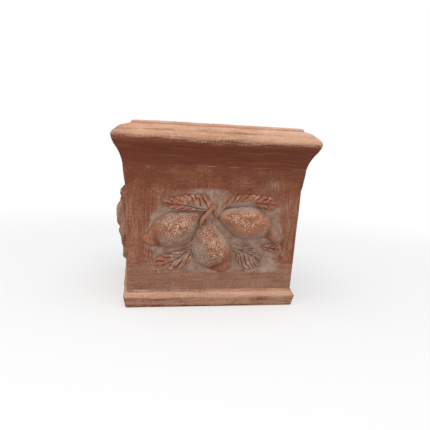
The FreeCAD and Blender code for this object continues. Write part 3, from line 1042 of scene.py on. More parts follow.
@dataclass(frozen=True)
class Lemon(LongSprig):
    """A lemon in high relief: a domed body with a grained skin and a smooth knob at its end.

    Fields:
        down: 1 where its left edge is the lower one, and -1 where its right edge is.
        smooth_from: Share of the length past which the skin is smooth, on its middle line.
        slant: How much later that is at its lower edge, and sooner at its upper one.
        knob: Share of the length where the end knob is highest.
        slip_from: Where the slip starts, from -1 at its upper edge to 1 at its lower one.
        pale: Strength of the pale slip along its upper edge, which is partly painted light on the shaded gap
            above it.
        dusty: How much slip its smooth end keeps, from 0 to 1.
        bald: How much of the grain is missing from its smooth end, from 0 to 1.
    """

    down: float = 1.0
    smooth_from: float = 0.8
    slant: float = 0.0
    knob: float = 0.9
    slip_from: float = 0.0
    pale: float = 0.0
    dusty: float = 0.0
    bald: float = 0.0

    STATIONS = (0.0, 0.08, 0.2, 0.35, 0.5, 0.65, 0.8, 0.92, 1.0)
    OUTLINE_STEPS = 40
    ALONG_STEPS = 176
    ACROSS_STEPS = 134
    UNDER_STEPS = 8
    GRAIN = 4.2
    GRAIN_RISE = 1.75

    def edges(self, share: Array) -> tuple[Array, Array]:
        """Right and left edge at shares of the length, rounded off at both ends."""
        end = np.sqrt(np.clip(1.0 - ((share - 0.5) / 0.5) ** 22, 0.0, 1.0))
        return self.curve(self.right, share) * end, self.curve(self.left, share) * end

    def skin(self, along: Array, arc: Array) -> tuple[Array, Array]:
        """Grains on the unrolled skin.

        The map is pushed about by noise, coarse grains take most of the height and fine ones the
        rest, and noise of a larger size makes some patches coarser than others.

        Args:
            along: Places along the lemon.
            arc: Places round it.

        Returns:
            Height of the grains, and the closeness of the cracks between them.
        """
        flat = np.stack([along, arc], axis=-1)
        deep = np.dstack([flat, np.zeros_like(along)])
        flat = flat + 1.5 * np.stack([noise(deep, 6.0, self.seed + k) for k in (5, 6)], axis=-1)
        coarse, crack = pebbles(flat, self.GRAIN, self.seed)
        fine, fine_crack = pebbles(flat, self.GRAIN * 0.55, self.seed + 9)
        uneven = np.clip(1.0 + 0.40 * noise(deep, 9.0, self.seed + 7), 0.55, 1.4)
        bumps = noise(deep, 2.6, self.seed + 8)
        height = uneven * (0.62 * coarse + 0.30 * fine + 0.22 * bumps) - 0.26 * crack + 0.06
        return height, np.clip(uneven * (0.8 * crack + 0.3 * fine_crack - 0.25 * bumps), 0.0, 1.0)

    def sheet(self, wall: WallFace) -> ClaySheet:
        """Skin of the lemon.

        With c from -1 at the right edge to 1 at the left, the dome's height is the station's rise
        times (1 - |c| to the 2.3) to the 0.5. A knob is added near the end, and a crease is taken
        off between it and the body, deepest on the lower side. Grains and lumps stand out along
        the slope.

        Args:
            wall: Face that it sits on.

        Returns:
            The closed sheet with its marks.
        """
        share = (1.0 - np.cos(np.linspace(0.0, math.pi, self.ALONG_STEPS))) / 2.0
        share = (0.5 * share + 0.5 * np.linspace(0.0, 1.0, self.ALONG_STEPS))[:, None]
        sweep = np.linspace(-math.pi / 2, math.pi / 2, self.ACROSS_STEPS)[None, :]
        c = np.sin(sweep)
        right, left = self.edges(share)
        half = (left - right) / 2.0
        widest = half.max()
        along = share * self.spot.length + 0.0 * c
        aside = (left + right) / 2.0 + half * c
        down = c * self.down
        low = ramp(-0.15, 0.75, down)
        dome = np.clip(1.0 - np.abs(c) ** 2.3, 0.0, 1.0) ** 0.5
        near_edge = ramp(0.0, 0.28, dome)
        crease = bell(share, self.knob - 0.12, 0.036) * (0.25 + 0.75 * ramp(-0.5, 0.4, down))
        rise = self.rise * (np.clip(half / widest, 0.0, 1.0) ** 0.75 + 0.19 * bell(share, self.knob, 0.055))
        out = rise * dome - 0.28 * self.rise * crease * dome
        frayed = 0.05 * noise(wall.place(along, aside, out), 7.0, self.seed + 21)
        smooth = ramp(-0.10, 0.09, share - (self.smooth_from + self.slant * down) + frayed)
        skin, crack = self.skin(along, widest * sweep * 1.15 + 0.0 * along)
        spots = wall.place(*self.spot.to_wall(along, aside), out)
        lumps, small, crumbs = (
            noise(spots, cell, self.seed + k) for cell, k in ((15.0, 20), (7.0, 22), (3.0, 23))
        )
        rough = (1.0 - self.bald * smooth) * (1.0 - 0.25 * low)
        swell = self.GRAIN_RISE * (skin - 0.3) * rough + 1.2 * lumps
        swell = swell + (0.7 + 0.4 * smooth) * small + 0.5 * smooth * crumbs
        aside = aside + swell * 0.8 * c * ramp(0.0, 0.06, share * (1.0 - share))
        out = np.maximum(out + swell * near_edge * np.sqrt(np.cos(sweep)), 0.0)
        slip_edge = down + 0.4 * lumps + 0.1 * small
        coat = ramp(self.slip_from - 0.25, self.slip_from + 0.3, slip_edge) * (1.0 - smooth)
        upper = ramp(-0.56, -0.88, down) * ramp(0.75, 0.3, share)
        # How much of the grain's pale shows, partly wear and partly painted light: less on the smooth end,
        # and less towards the end and on the lower side, where painted shade falls.
        worn_and_lit = 1.0 - (0.55 - 0.45 * self.dusty) * ramp(0.50, 0.80, share)
        rubbed = (1.0 - 0.75 * smooth) * (1.0 - 0.84 * self.bald * low) * worn_and_lit
        dust = self.dusty * smooth
        marks = {
            "grain": np.clip(skin + 0.25 * lumps + 0.2 * small, 0.0, 1.0) * rubbed,
            # Painted shade in the cracks between the grains and in the crease, more on the lower side.
            "pit": np.clip(0.8 * crack * rough * near_edge + crease * (0.6 + 0.4 * low), 0.0, 1.0),
            "tip": smooth * ramp(0.1, 0.4, dome) * (0.85 + 0.15 * crumbs) * (1.0 - 0.7 * self.dusty),
            "slip": np.clip(1.1 * coat + 0.6 * ramp(0.42, 0.12, dome) * (1.0 - smooth) + dust, 0.0, 1.0),
            # Pale slip along the upper edge, partly painted light on the shaded gap above it, and pale dust
            # on the smooth end.
            "pale": np.clip(self.pale * upper + dust * (0.9 + 0.5 * crumbs), 0.0, 1.0),
            # Painted shade near the edges, most on the lower side and under the smooth end.
            "crevice_shade": np.clip(ramp(0.24, 0.02, dome) * (0.05 + 0.6 * low) + 0.6 * smooth * low, 0.0, 1.0),
        }
        return closed_on_wall(wall, self.spot, along, aside, out, marks, self.UNDER_STEPS)


@dataclass(frozen=True)
class Leaf(LongSprig):
    """A leaf in low relief with a midrib, cut side veins between swelling lobes, and a notched edge.

    Its edges and midrib are given as shares of its length.

    Fields:
        rib: Midrib at each station.
        veins: Number of side veins on each half.
        slant: How far forward a side vein runs on its way to the edge, as a share of the length.
        slip: How much of the slip is left all over it, from 0 to 1.
        filled: Share of the length up to which slip fills its right half.
    """

    rib: tuple[float, ...] = ()
    veins: float = 6.0
    slant: float = 0.3
    slip: float = 0.0
    filled: float = 0.0

    STATIONS = (0.0, 0.12, 0.3, 0.5, 0.7, 0.88, 1.0)
    ALONG_STEPS = 164
    ACROSS_STEPS = 68
    UNDER_STEPS = 5
    VEIN_DEPTH = 2.6
    LOBE_SWELL = 1.8
    LIP = 0.40
    HALVES_APART = 1000.0

    def curve(self, values: tuple[float, ...], share: Array) -> Array:
        """Curve through a share of the length at each station."""
        return super().curve(values, share) * self.spot.length

    def sheet(self, wall: WallFace) -> ClaySheet:
        """Skin of the leaf.

        With c from -1 at the right edge through 0 at the midrib to 1 at the left, a side vein is cut
        where veins * (share - slant * |c| to the 1.3), strayed by noise, is a whole number, and the
        lobe between two veins swells by the sine of that value. The edge is notched in step with the
        lobes. The noise of the two halves is read far apart, so that they differ.

        Args:
            wall: Face that it sits on.

        Returns:
            The closed sheet with its marks.
        """
        share = np.linspace(0.0, 1.0, self.ALONG_STEPS)[:, None]
        top = np.linspace(-1.0, 1.0, self.ACROSS_STEPS)[None, :]
        c = np.sign(top) * np.abs(top) ** 0.9
        reach = np.abs(c)
        rib, (right, left) = self.curve(self.rib, share), self.edges(share)
        width = np.where(c > 0, left - rib, rib - right)
        along = share * self.spot.length + 0.0 * c
        aside = rib + c * width
        half = self.HALVES_APART * np.sign(c) + 0.0 * along
        stray = noise(np.stack([along * 2.0, aside, half], axis=-1), 15.0, self.seed)
        strength = 0.75 + 0.7 * noise(np.stack([along, 0.5 * aside, half], axis=-1), 8.0, self.seed + 1)
        strength = np.clip(strength, 0.2, 1.2)
        phase = self.veins * (share - self.slant * reach**1.3) + 0.35 * (c < 0) + 0.38 * stray
        part = phase % 1.0
        lobe = np.sin(math.pi * part)
        pleat = np.sin(6.0 * math.pi * phase)
        cut = bell(np.minimum(part, 1.0 - part), 0.0, 0.085) * strength
        glint = bell(part, 0.22, 0.10) * strength
        aside = rib + (1.0 + 0.12 * reach**3 * (lobe - 0.7)) * (aside - rib)
        full = ramp(-0.02, 0.14, share) * ramp(1.02, 0.84, share)
        crown = self.LIP + (1.0 - self.LIP) * np.sqrt(np.clip(1.0 - reach**4, 0.0, 1.0))
        out = self.rise * (0.35 + 0.65 * full) * crown * (1.0 + 0.22 * np.sin(math.pi * reach))
        wide = np.clip(width / 12.0, 0.3, 1.0)
        flank = ramp(0.05, 0.5, reach) * full * wide
        out = out + (self.LOBE_SWELL * (lobe - 0.5) + 0.22 * pleat) * flank
        vein = cut * ramp(0.05, 0.30, reach) * ramp(1.02, 0.78, reach) * (0.35 + 0.65 * full)
        midrib = bell(reach * width, 0.0, 1.2) * (0.4 + 0.6 * full) * (0.55 + 0.45 * strength)
        out = out - self.VEIN_DEPTH * (vein * wide + 0.8 * midrib)
        spots = wall.place(*self.spot.to_wall(along, aside), out)
        lumps, fine = noise(spots, 9.0, 40), noise(spots, 3.2, 41)
        filled = (c < 0) * ramp(self.filled + 0.08, self.filled - 0.12, share)
        out = np.maximum((out + 1.2 * lumps + 0.8 * fine) * (1.0 - 0.45 * reach * filled), 0.6)
        edge = ramp(0.84, 1.0, reach)
        inner = ramp(0.60, 0.15, reach) * ramp(0.80, 0.35, share)
        # Crests of the lobes and a glint beside each vein, for the painted highlight.
        crest = ramp(0.15, 0.75, reach) * (0.45 * lobe + 0.35 * glint) * (1.0 - filled)
        marks = {
            # Painted shade in the veins and midrib, and painted highlight on the crests.
            "vein": np.clip(vein * 0.95 + 0.85 * midrib, 0.0, 1.0) * (1.0 - 0.7 * filled),
            "ridge": np.clip(crest + 0.3 * lumps + 0.35 * fine + 0.12 * pleat, 0.0, 1.0) * (1.0 - midrib),
            # Over 1 where slip fills the right half, so the finish paints it pale: painted light on that
            # shaded fill.
            "slip": np.clip(0.4 * edge + 0.8 * inner + self.slip + filled, 0.0, 1.0) + 0.6 * filled,
            # Painted shade along the edges, none where slip fills the half.
            "crevice_shade": 0.3 * edge * (1.0 - filled),
        }
        skirt = ((0, 0), (1, 1))
        marks = {name: np.pad(values, skirt, mode="edge") for name, values in marks.items()}
        # Painted shade on the skirt at both edges, less where slip fills.
        marks["crevice_shade"][:, [0, -1]] = 0.55 * (1.0 - 0.8 * filled[:, [0, -1]])
        along, aside = (np.pad(way, skirt, mode="edge") for way in (along, aside))
        out = np.pad(out, skirt, constant_values=-SUNK)
        return closed_on_wall(wall, self.spot, along, aside, out, marks, self.UNDER_STEPS)


@dataclass(frozen=True)
class Stalk(Sprig):
    """A half-round roll along a path on the wall face, for a run of the twig or a leaf's stem.

    Fields:
        path: Places (across, up) on the wall face.
        widths: Half width at each place.
    """

    path: tuple[tuple[float, float], ...] = ()
    widths: tuple[float, ...] = ()

    ALONG_STEPS = 90
    ACROSS_STEPS = 46
    UNDER_STEPS = 4
    OUTLINE_STEPS = 16
    FOLDS = 2.0

    def line(self, share: Array) -> tuple[Array, Array]:
        """The path, and the way from it to its left edge.

        Args:
            share: Shares of the path.

        Returns:
            Points and steps aside, each of shape (n, 2).
        """
        given = np.array(self.path)
        places = np.linspace(0.0, 1.0, len(given))
        points = np.stack([smooth_curve(places, given[:, k], share) for k in (0, 1)], axis=-1)
        runs = np.gradient(points, axis=0)
        runs = runs / np.linalg.norm(runs, axis=1, keepdims=True)
        half = smooth_curve(places, np.array(self.widths), share)
        return points, np.stack([-runs[:, 1], runs[:, 0]], axis=-1) * half[:, None]

    def outline(self) -> Array:
        """Outline on the wall face, up the left edge and down the right one."""
        points, aside = self.line(np.linspace(0.0, 1.0, self.OUTLINE_STEPS))
        return np.concatenate([points + aside, (points - aside)[::-1]])

    def sheet(self, wall: WallFace) -> ClaySheet:
        """Skin of the roll: a half circle carried along the path, with sharp folds along its length.

        A fold's height is 2 * |cos| - 1 of a turn that makes FOLDS half turns from the middle to
        the edge and strays along the roll.

        Args:
            wall: Face that it sits on.

        Returns:
            The closed sheet with its marks.
        """
        share = np.linspace(0.0, 1.0, self.ALONG_STEPS)
        points, aside = self.line(share)
        c = np.sin(np.linspace(-math.pi / 2, math.pi / 2, self.ACROSS_STEPS))[None, :]
        ends = np.sqrt(np.clip(1.0 - (2.0 * share - 1.0) ** 16, 0.02, 1.0))[:, None]
        flat = points[:, None, :] + (ends * c)[..., None] * aside[:, None, :]
        dome = np.sqrt(np.clip(1.0 - c**2, 0.0, 1.0))
        stray = 0.5 * noise(np.dstack([flat, 0.0 * flat[..., :1]]), 12.0, 45)
        fold = 2.0 * np.abs(np.cos(math.pi * self.FOLDS * (c + 0.35 * (share[:, None] - 0.5)) + stray)) - 1.0
        out = np.maximum(self.rise * ends * dome**0.8 + 1.2 * fold * dome, 0.0)
        marks = {
            # Painted shade between the folds and painted highlight on their tops.
            "vein": 0.9 * ramp(0.1, -0.7, fold) * ramp(0.0, 0.4, dome),
            "ridge": 1.35 * ramp(0.2, 0.9, fold) * dome,
            "slip": 0.3 * (1 - dome),
            # Painted shade down the sides of the roll.
            "crevice_shade": 0.7 * ramp(0.40, 0.1, dome),
        }
        return closed_on_wall(wall, SprigFrame(), flat[..., 0], flat[..., 1], out, marks, self.UNDER_STEPS)


LEMONS = (
    Lemon(
        "lemon_left",
        spot=SprigFrame(-29.0, 31.5, -157.1, 121.0),
        right=(-3.0, -8.4, -14.3, -22.0, -24.5, -23.0, -12.0, -4.5, -4.0),
        left=(5.6, 13.0, 31.0, 42.0, 42.5, 38.0, 28.5, 21.5, 16.0),
        rise=20.5, down=1.0, smooth_from=0.80, slant=0.06, knob=0.92,
        slip_from=0.22, pale=0.75, dusty=0.0, bald=0.88, seed=11,
    ),
    Lemon(
        "lemon_right",
        spot=SprigFrame(4.0, 25.5, -17.9, 137.5),
        right=(-4.0, -7.1, -14.8, -24.0, -23.1, -13.6, -6.5, -10.5, -11.0),
        left=(6.5, 20.0, 31.0, 39.8, 43.0, 38.6, 26.0, 15.0, 6.5),
        rise=20.5, down=-1.0, smooth_from=0.74, slant=0.03, knob=0.91,
        slip_from=0.62, pale=1.0, dusty=0.34, bald=0.80, seed=23,
    ),
    Lemon(
        "lemon_low",
        spot=SprigFrame(-26.0, 10.5, -62.7, 106.0),
        right=(-9.0, -21.5, -31.5, -38.0, -40.5, -36.5, -25.0, -12.8, -7.0),
        left=(6.0, 18.5, 27.5, 31.0, 31.5, 31.3, 25.5, 19.5, 14.5),
        rise=14.5, down=-1.0, smooth_from=0.80, slant=-0.07, knob=0.93,
        slip_from=0.12, pale=0.8, dusty=0.0, bald=0.35, seed=37,
    ),
)

LEAVES = (
    Leaf(
        "leaf_top_left",
        spot=SprigFrame(-5.0, 43.5, 175.0, 99.0),
        right=(-0.05, -0.22, -0.235, -0.21, -0.165, -0.095, -0.015),
        rib=(0.0, 0.03, 0.025, 0.0, -0.005, 0.0, 0.0),
        left=(0.02, 0.06, 0.085, 0.095, 0.10, 0.08, 0.02),
        rise=8.5, veins=7.5, slant=0.17, slip=0.14, seed=61,
    ),
    Leaf(
        "leaf_top_right",
        spot=SprigFrame(12.0, 44.0, 3.5, 112.0),
        right=(-0.01, 0.03, 0.085, 0.07, -0.01, -0.08, -0.03),
        rib=(0.01, 0.055, 0.105, 0.095, 0.06, 0.04, 0.0),
        left=(0.04, 0.16, 0.22, 0.22, 0.20, 0.16, 0.06),
        rise=9.0, veins=8.5, slant=0.14, slip=0.0, filled=0.6, seed=62,
    ),
    Leaf(
        "leaf_low_left",
        spot=SprigFrame(-43.0, -36.5, -156.3, 81.0),
        right=(-0.05, -0.08, -0.08, -0.11, -0.145, -0.12, -0.03),
        rib=(0.0, 0.0, 0.05, 0.085, 0.09, 0.07, 0.02),
        left=(0.08, 0.24, 0.36, 0.34, 0.25, 0.17, 0.06),
        rise=6.5, veins=4.0, slant=0.38, slip=0.28, seed=63,
    ),
    Leaf(
        "leaf_low_right",
        spot=SprigFrame(36.0, -33.0, -32.2, 73.0),
        right=(-0.05, -0.10, -0.20, -0.29, -0.26, -0.15, -0.04),
        rib=(0.0, 0.03, 0.07, 0.10, 0.11, 0.08, 0.02),
        left=(0.07, 0.14, 0.22, 0.275, 0.30, 0.19, 0.04),
        rise=6.5, veins=6.0, slant=0.5, slip=0.58, seed=64,
    ),
    Leaf(
        "leaf_side_right",
        spot=SprigFrame(97.0, -32.0, -9.0, 38.0),
        right=(-0.06, -0.10, -0.16, -0.19, -0.18, -0.14, -0.06),
        rib=(0.02, 0.02, 0.02, 0.02, 0.02, 0.02, 0.0),
        left=(0.12, 0.18, 0.23, 0.25, 0.25, 0.18, 0.08),
        rise=7.0, veins=3.0, slant=0.3, slip=0.1, seed=65,
    ),
)

STALKS = (
    Stalk(
        "twig_stem", 11.0, "twig",
        path=((-1.0, 51.0), (-9.0, 43.0), (-17.0, 32.0), (-25.0, 23.0), (-29.0, 14.0), (-27.0, 5.0)),
        widths=(4.0, 5.6, 6.0, 5.0, 3.0, 2.2),
    ),
    Stalk(
        "twig_branch", 9.5, "twig",
        path=((-3.0, 50.0), (-2.0, 42.0), (-1.0, 34.0), (5.0, 26.0)),
        widths=(3.4, 3.4, 3.4, 3.8),
    ),
    Stalk(
        "twig_stub", 7.0, "twig",
        path=((-12.0, 35.0), (-15.5, 27.0), (-17.5, 20.0), (-17.0, 13.5)),
        widths=(3.0, 3.2, 2.6, 1.6),
    ),
    Stalk(
        "leaf_low_left_stem", 3.6, "leaf_low_left",
        path=((-45.0, -17.5), (-51.0, -24.0), (-56.5, -29.5), (-61.5, -35.0)),
        widths=(1.3, 1.5, 1.6, 1.3),
    ),
)


@dataclass(frozen=True)
class Spray:
    """The lemons, leaves and stalks that each side carries."""

    lemons: tuple[Lemon, ...] = LEMONS
    greens: tuple[Sprig, ...] = LEAVES + STALKS

    def outlines(self) -> list[Array]:
        """Outlines of all the sprigs on the wall face."""
        return [sprig.outline() for sprig in self.lemons + self.greens]

    def make(self, side: Side, fruit: Material, leaf: Material) -> None:
        """Builds and dresses the sprigs of a side.

        Args:
            side: The side.
            fruit: Finish of the lemons.
            leaf: Finish of the leaves and the stalks.
        """
        wall = WallFace(side)
        for sprigs, finish, slot in (
            (self.lemons, fruit, "terracotta_fruit"),
            (self.greens, leaf, "terracotta_leaf"),
        ):
            for sprig in sprigs:
                sprig.dress(wall, finish, slot)


# Square rings: walls, rim and foot


@dataclass(frozen=True)
class RingStep:
    """One corner of a ring's section.

    Fields:
        half: Half width there.
        height: Height there.
        rows: Rows of the grid on the way to the next corner.
        rubbed: How pale it is there, from 0 to 1: partly wear from rubbing, partly painted light on the
            faces turned up and a painted highlight along the foot's top edge.
        shade: How dark red the clay is there, from 0 to 1: partly the clay's own darker red, partly painted
            shade in the hollow under the nose, at the foot's bottom edge and down the inside.
        bulge: Outward bulge of the way to the next corner; negative for a hollow.
    """

    half: float
    height: float
    rows: int
    rubbed: float = 0.0
    shade: float = 0.0
    bulge: float = 0.0

    def values(self) -> Array:
        """Half width, height and the two marks."""
        return np.array([self.half, self.height, self.rubbed, self.shade])


@dataclass(frozen=True)
class SquareRing:
    """A section carried round a square with rounded corners.

    Fields:
        steps: The section's corners, in order round it.
        corner: Radius of the square's outer corners.
        side_steps: Columns along each straight side.
        corner_steps: Columns round each corner.
    """

    steps: tuple[RingStep, ...]
    corner: float = 3.2
    side_steps: int = 150
    corner_steps: int = 8

    def section(self) -> Array:
        """The way round the section.

        Between two corners it is a straight line moved sideways by bulge * 4 * t * (1 - t).

        Returns:
            Half width, height, rubbed and shade at each row, shape (4, rows, 1).
        """
        parts = []
        for step, after in zip(self.steps, self.steps[1:] + self.steps[:1]):
            t = np.arange(step.rows) / step.rows
            run = after.values() - step.values()
            aside = np.array([run[1], -run[0], 0.0, 0.0]) / max(math.hypot(run[0], run[1]), TINY)
            lift = step.bulge * 4.0 * t * (1.0 - t)
            parts.append(step.values()[:, None] + run[:, None] * t + aside[:, None] * lift)
        return np.concatenate(parts, axis=1)[..., None]

    def sheet(self) -> ClaySheet:
        """Grid of the ring before any unevenness.

        A column's point is the square's core corner or side point plus the corner radius along the
        column's normal: x = core across + r * sin(bend), y = -(core out + r * cos(bend)), turned.

        Returns:
            The closed sheet, with its finish values as marks.
        """
        half, height, rubbed, shade = self.section()
        bends = np.linspace(0.0, math.pi / 2.0, self.corner_steps + 2)[1:-1]
        straight = np.linspace(-1.0, 1.0, self.side_steps)
        along = np.tile(np.concatenate([straight, np.ones(self.corner_steps)]), 4)
        bend = np.tile(np.concatenate([np.zeros(self.side_steps), bends]), 4)
        turn = np.repeat(np.arange(4) * math.pi / 2.0, self.side_steps + self.corner_steps)
        core = half - self.corner
        x = core * along + self.corner * np.sin(bend)
        y = -(core + self.corner * np.cos(bend))
        across, out = x * np.cos(turn) - y * np.sin(turn), x * np.sin(turn) + y * np.cos(turn)
        marks = {"rubbed": rubbed + 0.0 * x, "shade": shade + 0.0 * x}
        return ClaySheet(np.stack([across, out, height + 0.0 * x], axis=-1), marks, ring=True)


def reach_of(points: Array) -> Array:
    """Half width of the square on which each point stands."""
    return np.abs(points[..., :2]).max(axis=-1)


def across_side(points: Array) -> Array:
    """Places across the side that each point is nearest to, to the right as seen from outside."""
    x, y = points[..., 0], points[..., 1]
    return np.where(np.abs(x) > np.abs(y), y * np.sign(x), -x * np.sign(y))


def push_out(points: Array, amount: Array) -> Array:
    """Points of a ring moved level away from the axis, square to the side that they are on.

    Near a corner, where x and y differ by less than 7% of the larger, the way turns to the diagonal.

    Args:
        points: The points, shape (..., 3).
        amount: How far each one moves.

    Returns:
        The moved points.
    """
    corner_from, corner_share = 0.93, 0.07
    flat = points[..., :2]
    share = np.clip((np.abs(flat) / reach_of(points)[..., None] - corner_from) / corner_share, 0.0, 1.0)
    direction = np.sign(flat) * share
    direction /= np.maximum(np.linalg.norm(direction, axis=-1, keepdims=True), TINY)
    moved = points.copy()
    moved[..., :2] += direction * amount[..., None]
    return moved


@dataclass(frozen=True)
class Patch:
    """A soft patch of slip on each side's face: its middle, half width, half height and strength."""

    across: float
    up: float
    wide: float
    high: float
    strength: float

    def on_face(self, across: Array, up: Array) -> Array:
        """Strength times a bell in both directions."""
        return self.strength * bell(across, self.across, self.wide) * bell(up, self.up, self.high)


@dataclass(frozen=True)
class Walls:
    """The four leaning walls as one clay body, with the spray's slip and fillets on their faces.

    Fields:
        spray: The spray that stands on each face.
        ring: Their section.
        slip: Patches where slip lies, or is missing where the strength is negative.
        pale: Patches where the slip is pale; the first is painted light on the shaded gap between the top
            right leaf and the right lemon.
    """

    spray: Spray
    ring: SquareRing = SquareRing(
        (
            RingStep(164.0, 0.0, 10),
            RingStep(165.0, 27.0, 86),
            RingStep(172.6, 236.0, 16, 0.0, 0.0, 0.5),
            RingStep(178.5, 277.3, 2),
            RingStep(178.0, 278.0, 3),
            RingStep(152.0, 278.0, 26),
            RingStep(142.0, 0.0, 3),
        ),
        corner=2.8,
        side_steps=139,
        corner_steps=6,
    )

    slip: tuple[Patch, ...] = (
        Patch(-3.0, 66.0, 25.0, 13.0, 1.0),
        Patch(-117.0, 22.0, 11.0, 14.0, 0.8),
        Patch(-130.0, 56.0, 14.0, 22.0, -0.6),
        Patch(-82.0, 36.0, 16.0, 18.0, 0.6),
        Patch(-118.0, -24.0, 16.0, 7.0, 0.5),
        Patch(-104.0, -44.0, 16.0, 12.0, 0.6),
        Patch(108.0, -72.0, 26.0, 18.0, 1.3),
        Patch(112.0, 92.0, 20.0, 20.0, 0.30),
        Patch(125.0, 8.0, 11.0, 36.0, 0.65),
        Patch(52.0, 53.5, 32.0, 6.0, 1.2),
        Patch(-40.0, 74.0, 30.0, 6.0, 0.5),
        Patch(-94.0, 58.0, 15.0, 9.0, 0.30),
        Patch(84.0, -27.0, 14.0, 9.0, 1.0),
        Patch(-46.0, -71.0, 20.0, 9.0, 1.2),
        Patch(138.0, -30.0, 13.0, 20.0, -0.7),
        Patch(-140.0, -2.0, 14.0, 26.0, -0.7),
        Patch(-128.0, -66.0, 16.0, 26.0, -0.6),
    )
    pale: tuple[Patch, ...] = (
        # Painted light on the slip in the shaded gap between the top right leaf and the right lemon.
        Patch(50.0, 54.5, 34.0, 6.5, 0.60),
        Patch(-66.0, 43.0, 24.0, 6.0, 0.40),
        Patch(112.0, -74.0, 22.0, 14.0, 0.14),
        Patch(2.0, 38.0, 10.0, 10.0, 0.20),
    )

    FILLET = 1.7
    FILLET_FADE = 3.6
    CREVICE_FADE = 1.4
    COVERED_FROM = -1.5
    HELD_BACK = -0.4
    OUTER_FROM = 158.0
    SPRAY_REACH = 120.0
    FAR = 1000.0

    def make(self, finish: Material) -> None:
        """Builds and dresses the walls.

        The clay swells in a fillet round each sprig and is held back under it. The slip lies in a
        frayed halo round the whole spray and in soft patches beside it.

        Args:
            finish: Finish of the walls.
        """
        sheet = self.ring.sheet()
        points = sheet.points
        outer = reach_of(points) > self.OUTER_FROM
        across = across_side(points)
        up = (points[..., 2] - SIZES.spray_height) / math.cos(SIZES.lean)
        near = np.full(across.shape, self.FAR)
        chosen = outer & (np.abs(up) < self.SPRAY_REACH)
        flat = np.stack([across[chosen], up[chosen]], axis=-1)
        near[chosen] = np.min([outline_distance(flat, line) for line in self.spray.outlines()], axis=0)
        apart = np.maximum(near, 0.0)
        fillet = self.FILLET * np.exp(-apart / self.FILLET_FADE) * outer
        amount = (hand_wobble(points) + fillet) * np.where(outer, 1.0, -1.0)
        amount = np.where(near < self.COVERED_FROM, self.HELD_BACK, amount)
        sheet.points = push_out(points, np.where(points[..., 2] < 1.0, 0.0, amount))
        uneven = noise(points, 22.0, 51)
        halo = ramp(15.0, -1.0, near + 9.0 * uneven + 4.0 * noise(points, 8.0, 53))
        halo *= 1.0 - 0.85 * ramp(34.0, 52.0, up + 6.0 * uneven)
        ragged = up + 3.0 * noise(points * (0.4, 0.4, 2.0), 9.0, 52)
        slip = sum(patch.on_face(across, up) for patch in self.slip)
        pale = sum(patch.on_face(across, up) for patch in self.pale)
        x, y = np.abs(points[..., 0]), np.abs(points[..., 1])
        sheet.marks = {
            "residue": np.clip(halo + slip, 0.0, 1.3) * ramp(-89.0, -82.0, ragged) * outer,
            "pale": np.clip(pale, 0.0, 1.0) * outer,
            # Painted shade in the crevices next to the sprigs.
            "crevice_shade": np.exp(-apart / self.CREVICE_FADE) * outer * 0.4,
            "wear": 0.15 * ramp(6.0, 1.0, np.abs(x - y)) * outer,
        }
        sheet.dress("clay_walls", finish, "terracotta_wall", *("wall_" + side.label for side in Side))


